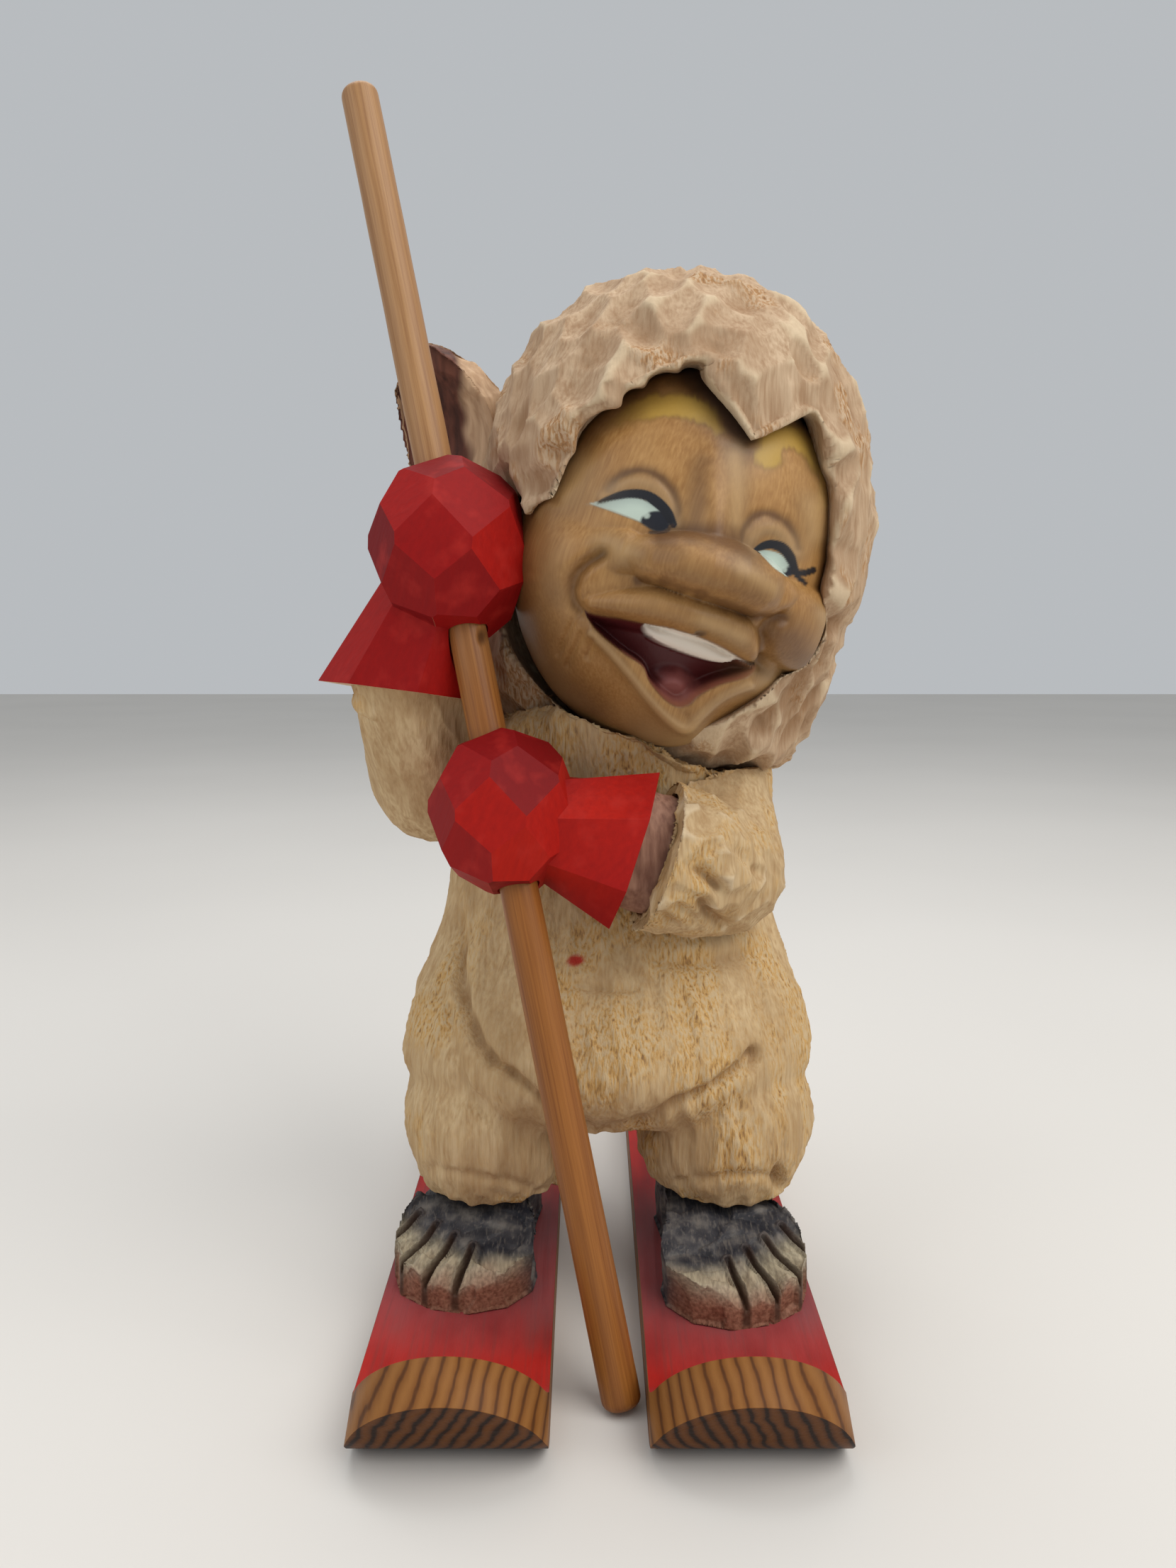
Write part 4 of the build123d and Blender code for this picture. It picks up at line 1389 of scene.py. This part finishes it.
    def build_hood(self) -> None:
        """Carves the hood with scoops all over and a lumpy rim."""
        block = Block.copy_of("hood", voxel=0.85, rounds=9)
        self.swell(block, self.lobes)
        skin = block.surface()
        points = skin.points
        outwards = np.einsum("ij,ij->i", skin.normals, points - np.array(self.middle))
        scoop = self.scoop.cut(skin)
        patch = 0.15 + 0.6 * ease(0.0, 0.35, Lattice(13).layers(points / 21.0, 2))
        dents = (scoop + self.nick.cut(skin) * patch) * ease(-0.1, 0.3, outwards / 50)
        height = dents + skin.furrows(self.cape_cuts)
        fuzz = ease(0.12, 0.5, Lattice(14).layers(points / 13.0, 3))
        fine = Lattice(15).layers(points * np.array([0.9, 0.9, 0.4]), 2)
        block.raise_by(height + fine * (0.04 + 0.35 * fuzz))
        block.rub("rim", ease(7.0, 3.0, skin.gap(self.rim)[0]) * (points[:, 1] < 5), 6)
        self.swell(block, self.locks)
        # painted shade: the deepest scoops and cuts are darkened; the ridge mark is a painted highlight on
        # the uncut ridges
        dirt_and_shade = np.clip(ease(-2.2, -4.4, height) * 0.6, 0, 1)
        block.mark(fuzz=fuzz, ridge=ease(-1.1, -0.2, scoop), cut=dirt_and_shade)
        wood = BareWood("hood_wood", (198, 172, 142), (162, 131, 101), (172, 126, 78))
        block.dress("hood_wood", wood.material())

    def build_ear(self) -> None:
        """Carves the pointed ear with its dark inside."""
        block = Block.copy_of("right_ear", voxel=0.5, rounds=4)
        points = block.points()
        root = ease(-46.0, -30.0, points[:, 0])
        block.move(points + np.array([4.0, 0.5, -1.5]) * root[:, None])
        skin = block.surface()
        height = self.ear_cut.cut(skin)
        height += Lattice(22).layers(skin.points * np.array([0.7, 0.7, 0.12]), 2) * 0.25
        block.raise_by(height)
        ragged = Lattice(23).layers(skin.points / 9.0, 2) * 9
        lean = (skin.spots[:, 1] - self.ear_stain_row) * self.ear_stain_lean
        dark = ease(*self.ear_stain, skin.spots[:, 0] + ragged - lean)
        # cut: painted shade in the deeper scoops
        block.mark(dark=dark * ease(-0.2, 0.2, skin.front), cut=ease(-0.9, -2.2, height) * 0.5)
        block.dress("ear_wood", EarStain().material())

    def build(self) -> None:
        """Builds the whole head."""
        self.build_face()
        self.build_hood()
        self.build_ear()


@dataclass
class Suit:
    """Torso with its trousers, and the two sleeves. Marks are in the photograph's pixels."""

    # Line, half width and depth
    creases: tuple = (
        (((644, 1290), (642, 1360), (652, 1425), (682, 1488), (732, 1530), (784, 1590)), 1.7, 2.8),
        (((622, 1400), (630, 1460), (648, 1530), (690, 1580)), 1.4, 1.2),
        (((1072, 1485), (1040, 1515), (992, 1550), (945, 1572), (905, 1600)), 1.8, 2.6),
        (((780, 1590), (830, 1604), (870, 1600), (910, 1590)), 1.8, 1.6),
        (((800, 1386), (840, 1394), (892, 1394)), 1.2, 1.4),
        (((930, 1352), (1000, 1356), (1075, 1340)), 2.2, 1.6),
        (((1058, 1490), (1070, 1482), (1074, 1496), (1064, 1516)), 1.2, 2.6),
        (((1102, 1652), (1108, 1690)), 1.6, 3.4),
        (((595, 1652), (660, 1664), (720, 1674), (780, 1690)), 1.4, 1.0),
        (((930, 1672), (1000, 1668), (1060, 1664), (1110, 1672)), 1.4, 1.0),
    )
    # Line, half width and depth
    wrinkles: tuple = (
        (((985, 1222), (1010, 1245), (1030, 1262)), 2.0, 3.2),
        (((935, 1300), (960, 1330), (985, 1345)), 2.0, 2.8),
        (((990, 1275), (1010, 1305), (1035, 1325)), 2.0, 3.6),
        (((950, 1280), (975, 1298), (985, 1310)), 1.6, 1.8),
        (((1040, 1190), (1065, 1215), (1085, 1240)), 1.8, 1.6),
        (((940, 1140), (980, 1120), (1020, 1112)), 2.2, 1.6),
    )
    # Place and radius
    tufts: tuple = (
        (870, 1470, 75), (600, 1440, 45), (790, 1400, 40), (1010, 1545, 50), (900, 1620, 30), (760, 1050, 60),
        (880, 1075, 45), (1000, 1070, 40),
    )
    dab: tuple = (811.0, 1354.0)
    long: Gouge = Gouge(18, 4.4, 1.8, 5.4, 31, 0.14)
    short: Gouge = Gouge(7, 3.6, 1.0, 4.8, 32, 0.4)
    right_cut: Gouge = Gouge(13, 4.6, 1.2, 5.0, 41, 0.2, aim=(-0.25, -0.4, 0.88))
    left_cut: Gouge = Gouge(8, 4.6, 1.4, 5.4, 44, 0.6, Stroke.ANY)

    def build_torso(self) -> None:
        """Carves the trunk and trousers."""
        block = Block.copy_of("torso", voxel=0.85, rounds=6)
        skin = block.surface()
        points = skin.points
        hem = ease(48, 34, points[:, 2])
        cuts = self.long.cut(skin) * (1 - 0.6 * hem) + self.short.cut(skin) * (0.12 + 0.9 * hem)
        height = cuts + skin.furrows(self.creases)
        fuzz = 0.12 + 0.88 * ease(-0.12, 0.45, Lattice(33).layers(points / np.array([12.0, 12.0, 24.0]), 3))
        ragged = Lattice(36).layers(points / 6.0, 2) * 14
        for x, y, wide in self.tufts:
            fuzz = np.maximum(fuzz, ease(wide * 1.5, wide * 0.4, from_spot(skin.spots, (x, y)) + ragged))
        fine = Lattice(34).layers(points * np.array([0.95, 0.95, 0.3]), 2)
        block.raise_by(height + fine * (0.03 + 0.4 * fuzz))
        dab = ease(1.7, 0.9, skin.dot(self.dab, (0.6, 1.0)) + ragged * 0.06) * (points[:, 1] < 0)
        # painted shade: the deepest creases are darkened; the ridge mark is a painted highlight on the uncut
        # ridges
        dirt_and_shade = np.clip(ease(-2.4, -4.8, height) * 0.5, 0, 1)
        block.mark(stain=dab, fuzz=fuzz, ridge=ease(-0.6, -0.1, cuts), cut=dirt_and_shade)
        block.dress("suit_wood", BareWood("suit_wood").material())

    @staticmethod
    def sleeve(side: str, way: Triple, reach: float) -> Block:
        """Takes a sleeve and draws its end out towards the cuff.

        Args:
            side: right or left.
            way: unit direction of the end.
            reach: how far, in millimetres.
        Returns:
            The sleeve.
        """
        block = Block.copy_of(f"{side}_sleeve", voxel=0.6, rounds=3)
        points = block.points()
        far = points @ np.array(way)
        block.move(points + np.array(way) * (reach * ease(14.0, 2.0, far.max() - far))[:, None])
        return block

    def build_sleeves(self) -> None:
        """Carves the raised smooth sleeve and the wrinkled one."""
        wood = BareWood("sleeve_wood").material()
        right = self.sleeve("right", (0.13, 0.09, 0.99), 2.4)
        skin = right.surface()
        height = self.right_cut.cut(skin)
        right.raise_by(height)
        fuzz = ease(0.25, 0.6, Lattice(43).layers(skin.points / 12.0, 3))
        # painted highlight on the uncut ridges, painted shade in the deeper scoops
        right.mark(fuzz=fuzz * 0.7, ridge=ease(-0.6, -0.1, height), cut=ease(-1.2, -2.4, height) * 0.3)
        right.dress("suit_wood", wood)
        left = self.sleeve("left", (-0.947, -0.119, 0.297), 4.5)
        skin = left.surface()
        scoop = self.left_cut.cut(skin)
        height = scoop + skin.furrows(self.wrinkles)
        fuzz = ease(0.0, 0.4, Lattice(45).layers(skin.points / 12.0, 3))
        fine = Lattice(46).layers(skin.points * np.array([0.9, 0.9, 0.5]), 2)
        left.raise_by(height + fine * (0.04 + 0.3 * fuzz))
        # painted shade: the deepest wrinkles are darkened; the ridge mark is a painted highlight on the uncut
        # ridges
        dirt_and_shade = np.clip(ease(-2.2, -4.6, height) * 0.5, 0, 1)
        left.mark(fuzz=fuzz * 0.85, ridge=ease(-0.6, -0.1, scoop), cut=dirt_and_shade)
        left.dress("suit_wood", wood)

    def build(self) -> None:
        """Builds the suit."""
        self.build_torso()
        self.build_sleeves()


@dataclass
class Hands:
    """Red mittens and the wrists between them and the sleeves.

    Each side has the way that its cuff's rim looks, a seed, and its wrist's finish and two colours.
    """

    sides: tuple = (
        ("right", (-0.13, -0.09, -0.99), 51, "right_wrist_wood", (176, 146, 108), (206, 178, 138)),
        ("left", (0.947, 0.119, -0.297), 57, "wrist_stain", (126, 88, 74), (168, 128, 108)),
    )
    edge: float = 0.45
    flat_angle: float = 9.0
    wrist_cut: Gouge = Gouge(9, 4, 0.5, 5.0, 61, stroke=Stroke.ANY)

    def build_mitten(self, side: str, axis: Triple, seed: int, paint: Material) -> None:
        """Paints one knife-cut mitten, facet by facet, and leaves bare wood on its rim.

        Args:
            side: right or left.
            axis: the way that the cuff's rim looks.
            seed: start of the facets' tones.
            paint: the red finish.
        """
        block = Block.copy_of(f"{side}_mitten")
        block.bevel(self.edge, self.flat_angle)
        ways = block.faces()
        rim = ways @ np.array(axis) > 0.93
        tone = np.clip(0.5 + 0.8 * Lattice(seed).at(ways * 2.7 + 9), 0, 1)
        block.mark("FACE", tone=tone, bare=rim * 0.95)
        block.dress("mitten_red", paint)

    def build_wrist(self, side: str, stain: Material) -> None:
        """Carves one wrist stub.

        Args:
            side: right or left.
            stain: its finish.
        """
        block = Block.copy_of(f"{side}_wrist", voxel=0.6, rounds=3)
        skin = block.surface()
        block.raise_by(self.wrist_cut.cut(skin) + Lattice(62).layers(skin.points * 0.5, 2) * 0.12)
        block.dress("wrist_brown", stain)

    def build(self) -> None:
        """Builds both hands."""
        paint = RedFacets().material()
        for side, axis, seed, name, low, high in self.sides:
            stain = PlainGrain(name, low, high, (700, 700, 90), 4, 0.66, (0.0004, 0.3), 0.62)
            self.build_mitten(side, axis, seed, paint)
            self.build_wrist(side, stain.material())


@dataclass
class Feet:
    """Bare feet with toes parted by deep cuts.

    Each place has its side, -1 or 1 for right or left, the sole's middle and the splay in degrees.
    """

    places: tuple = (("right", -1, -34.0 + SHIFT_X, -14.0, -7.0), ("left", 1, 34.5 + SHIFT_X, -21.0, 7.0))
    half: float = 33.0
    width: float = 39.0
    toes: int = 5
    big_toe: float = 0.42
    step_back: float = 3.2
    fan: float = 9.0
    round_off: float = 1.7
    root: float = 0.58
    knife: Knife = Knife()

    def notch(self, u: Array, v: Array, hand: int) -> tuple[Array, Array, Array]:
        """How near each point is to a cut between the toes.

        Args:
            u, v: places across and along the foot.
            hand: -1 for the right foot, 1 for the left.
        Returns:
            n shares in a cut, n shares down a toe's flank, and how far behind the roots each point is.
        """
        small = (1 - self.big_toe) / (self.toes - 1)
        share, flank = np.zeros(len(u)), np.zeros(len(u))
        for index in range(self.toes - 1):
            lean = math.radians(hand * self.fan * (index + 1))
            du = u - hand * (self.big_toe + index * small - 0.5) * self.width
            dv = v - index * self.step_back + self.half * self.root
            ahead = du * math.sin(lean) - dv * math.cos(lean)
            aside = np.abs(du * math.cos(lean) + dv * math.sin(lean))
            share = np.maximum(share, ease(-1.5, 1.5, ahead) * ease(1.9, 0.5, aside))
            flank = np.maximum(flank, ease(-1.0, 7.0, ahead) * ease(4.6, 1.2, aside))
        toe = np.clip((hand * u / self.width + 0.5 - self.big_toe) / small, 0.5, 3.5)
        return share, flank, v - toe * self.step_back + self.half * self.root

    def build_foot(self, side: str, hand: int, x: float, y: float, splay: float, stain: Material) -> None:
        """Carves one foot.

        Args:
            side: right or left.
            hand: -1 for the right foot, 1 for the left.
            x, y: the sole's middle in millimetres.
            splay: how far the toes turn out, in degrees.
            stain: the finish.
        """
        block = Block.copy_of(f"{side}_foot", voxel=0.4, rounds=2)
        skin = block.surface()
        c, s = math.cos(math.radians(splay)), math.sin(math.radians(splay))
        rel = skin.points[:, :2] - np.array([x, y])
        notch, flank, behind = self.notch(rel[:, 0] * c + rel[:, 1] * s, -rel[:, 0] * s + rel[:, 1] * c, hand)
        upwards = skin.normals[:, 2]
        notch = notch * ease(10.8, 14.0, skin.points[:, 2]) * (upwards > -0.4)
        block.move(self.knife.shave(skin, (upwards > -0.2) & (notch < 0.2), 71 + hand))
        points = block.points()
        block.raise_by(Lattice(72).layers(points * np.array([0.5, 0.16, 0.5]), 2) * 0.16)
        drop = self.round_off * flank * ease(9.0, 16.0, points[:, 2])
        block.move(block.points() + np.array([0.0, 0.3, -1.0]) * drop[:, None])
        ragged = Lattice(73).layers(points / 6.0, 2) * 2.5
        flesh = ease(23.5, 16.5, points[:, 2] + ragged * 0.6)
        # cut: painted shade in the cuts between the toes
        block.mark(dark=ease(-9.5, -1.0, behind + ragged), flesh=flesh, cut=notch * 0.85)
        block.dress("foot_wood", stain)

    def build(self) -> None:
        """Builds both feet."""
        stain = FootStain().material()
        for place in self.places:
            self.build_foot(*place, stain)


@dataclass
class Skis:
    """Two short boards with upturned ringed tips.

    Each place has its side, the board's middle, the middle of the foot on it and the lean of the
    growth rings in radians.
    """

    places: tuple = (("right", -34.25 + SHIFT_X, -14.0, 0.464), ("left", 34.25 + SHIFT_X, -21.0, -0.38))
    edge: float = 0.5
    flat_angle: float = 24.0
    wear_ahead: float = 4.0
    deck_height: float = 12.0

    def build(self) -> None:
        """Dresses both skis."""
        for side, x, foot_y, lean in self.places:
            block = Block.copy_of(f"{side}_ski", "board")
            block.bevel(self.edge, self.flat_angle)
            aside, ahead, up = block.faces().T
            deck = (up > 0.3) & (ahead > -0.2) & (np.abs(aside) < 0.3)
            # the sole mark paints shade on every face that looks downwards, the tip's underside too
            block.mark("FACE", deck=deck, sole=up < -0.2)
            worn = (x, foot_y - self.wear_ahead, self.deck_height)
            block.dress("ski_red", RingedPine(f"{side}_ski_pine", worn, lean).material())


@dataclass
class Pole:
    """Long round pole with a small nick under the upper mitten."""

    nick: tuple[float, float] = (681.0, 898.0)

    def build(self) -> None:
        """Shapes and dresses the pole."""
        block = Block.copy_of("pole", "turned", 0.5, 2)
        skin = block.surface()
        nick = ease(1.8, 0.3, skin.dot(self.nick, (1.0, 0.6))) * (skin.front > 0)
        wave = Lattice(91).layers(skin.points / np.array([9.0, 9.0, 30.0]), 2)
        block.raise_by(wave * 0.12 - 0.12 - 0.5 * nick)
        level = skin.points[:, 2] + Lattice(92).layers(skin.points / 18.0, 2) * 10
        block.mark(height=ease(150, 235, level), cut=nick * 0.8)
        block.dress("pole_wood", PoleWax().material(), Body.POLE)


@dataclass
class Pins:
    """Dowels and screws that stay hidden in the wood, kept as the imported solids."""

    dowels: tuple = (
        "neck_dowel", "right_shoulder_dowel", "left_shoulder_dowel", "right_ankle_dowel", "left_ankle_dowel",
        "ear_dowel",
    )
    screws: tuple = ("right_ski_screws", "left_ski_screws")

    def build(self) -> None:
        """Gives the kept solids their finishes."""
        beech = PlainGrain("dowel_beech", (190, 152, 108), (214, 182, 140))
        steel = PlainGrain("screw_steel", (120, 120, 122), (168, 168, 170), rough=0.4, metal=1.0)
        for names, finish in ((self.dowels, beech), (self.screws, steel)):
            material = finish.material()
            for name in names:
                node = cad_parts[name]
                node.data.materials.clear()
                node.data.materials.append(material)
                LOG.info("%s keeps its solid", name)


@dataclass
class Studio:
    """Pale floor, soft lights and the camera at the photograph's viewpoint.

    Each light has its name, place in metres, watts, side in metres and tint.
    """

    floor_size: float = 6.0
    floor_gap: float = 0.0001
    image_height: float = 2212.0
    sensor: float = 36.0
    nearest: float = 0.01
    aim: Triple = (0.0, 0.0, 0.17)
    lights: tuple = (
        ("key", (0.62, -0.5, 1.0), 10.0, 1.0, (1.0, 0.98, 0.95)),
        ("fill", (-0.85, -0.5, 0.7), 2.4, 0.8, (0.97, 0.98, 1.0)),
        ("top", (-0.1, 0.35, 1.2), 5.0, 0.9, (1.0, 1.0, 1.0)),
    )
    air: Triple = (222, 226, 230)
    air_strength: float = 0.66

    def build_floor(self) -> None:
        """Lays the floor just under the skis."""
        bpy.ops.object.select_all(action="DESELECT")
        bpy.ops.mesh.primitive_plane_add(size=self.floor_size, location=(0, 0, -self.floor_gap))
        floor = bpy.context.view_layer.objects.active
        floor.name = "studio_floor"
        shader = Shader("studio_floor_paint")
        colour = shader.ramp(shader.noise((3, 3, 3), 2), (0.3, 214, 210, 204), (0.7, 218, 214, 208))
        floor.data.materials.append(shader.done(colour, 0.75))

    @staticmethod
    def hang(name: str, data: bpy.types.ID, at: Sequence[float]) -> bpy.types.Object:
        """Puts a light or a camera into the scene.

        Args:
            name: its name.
            data: the light or the camera.
            at: its place in metres.
        Returns:
            The object.
        """
        obj = bpy.data.objects.new(name, data)
        bpy.context.scene.collection.objects.link(obj)
        obj.location = at
        return obj

    def build_lights(self) -> None:
        """Hangs the soft lights, which look at the figure, and sets the pale air."""
        for name, at, power, size, colour in self.lights:
            data = bpy.data.lights.new(name, "AREA")
            data.energy, data.size, data.color = power, size, colour
            look = Vector(self.aim) - Vector(at)
            self.hang(name, data, at).rotation_euler = look.to_track_quat("-Z", "Y").to_euler()
        world = bpy.data.worlds.new("studio_air")
        world.use_nodes = True
        back = world.node_tree.nodes["Background"]
        back.inputs["Color"].default_value = srgb(*self.air)
        back.inputs["Strength"].default_value = self.air_strength
        bpy.context.scene.world = world

    def build_camera(self) -> None:
        """Stands the camera at the photograph's viewpoint."""
        data = bpy.data.cameras.new("camera")
        data.lens = LENS.focal * self.sensor / self.image_height
        data.sensor_width = self.sensor
        data.clip_start = self.nearest
        camera = self.hang("camera", data, [value * MM for value in LENS.stand])
        camera.rotation_euler = (math.pi / 2 - LENS.tilt, 0, 0)
        bpy.context.scene.camera = camera

    def build(self) -> None:
        """Sets up the whole studio."""
        self.build_floor()
        self.build_lights()
        self.build_camera()


def main() -> None:
    """Builds every sub-assembly in order."""
    logging.basicConfig(level=logging.INFO, format="%(name)s: %(message)s")
    bpy.context.scene.view_settings.view_transform = "Standard"
    for part in (Studio(), Head(), Suit(), Hands(), Feet(), Skis(), Pole(), Pins()):
        part.build()


if __name__ == "__main__":
    main()
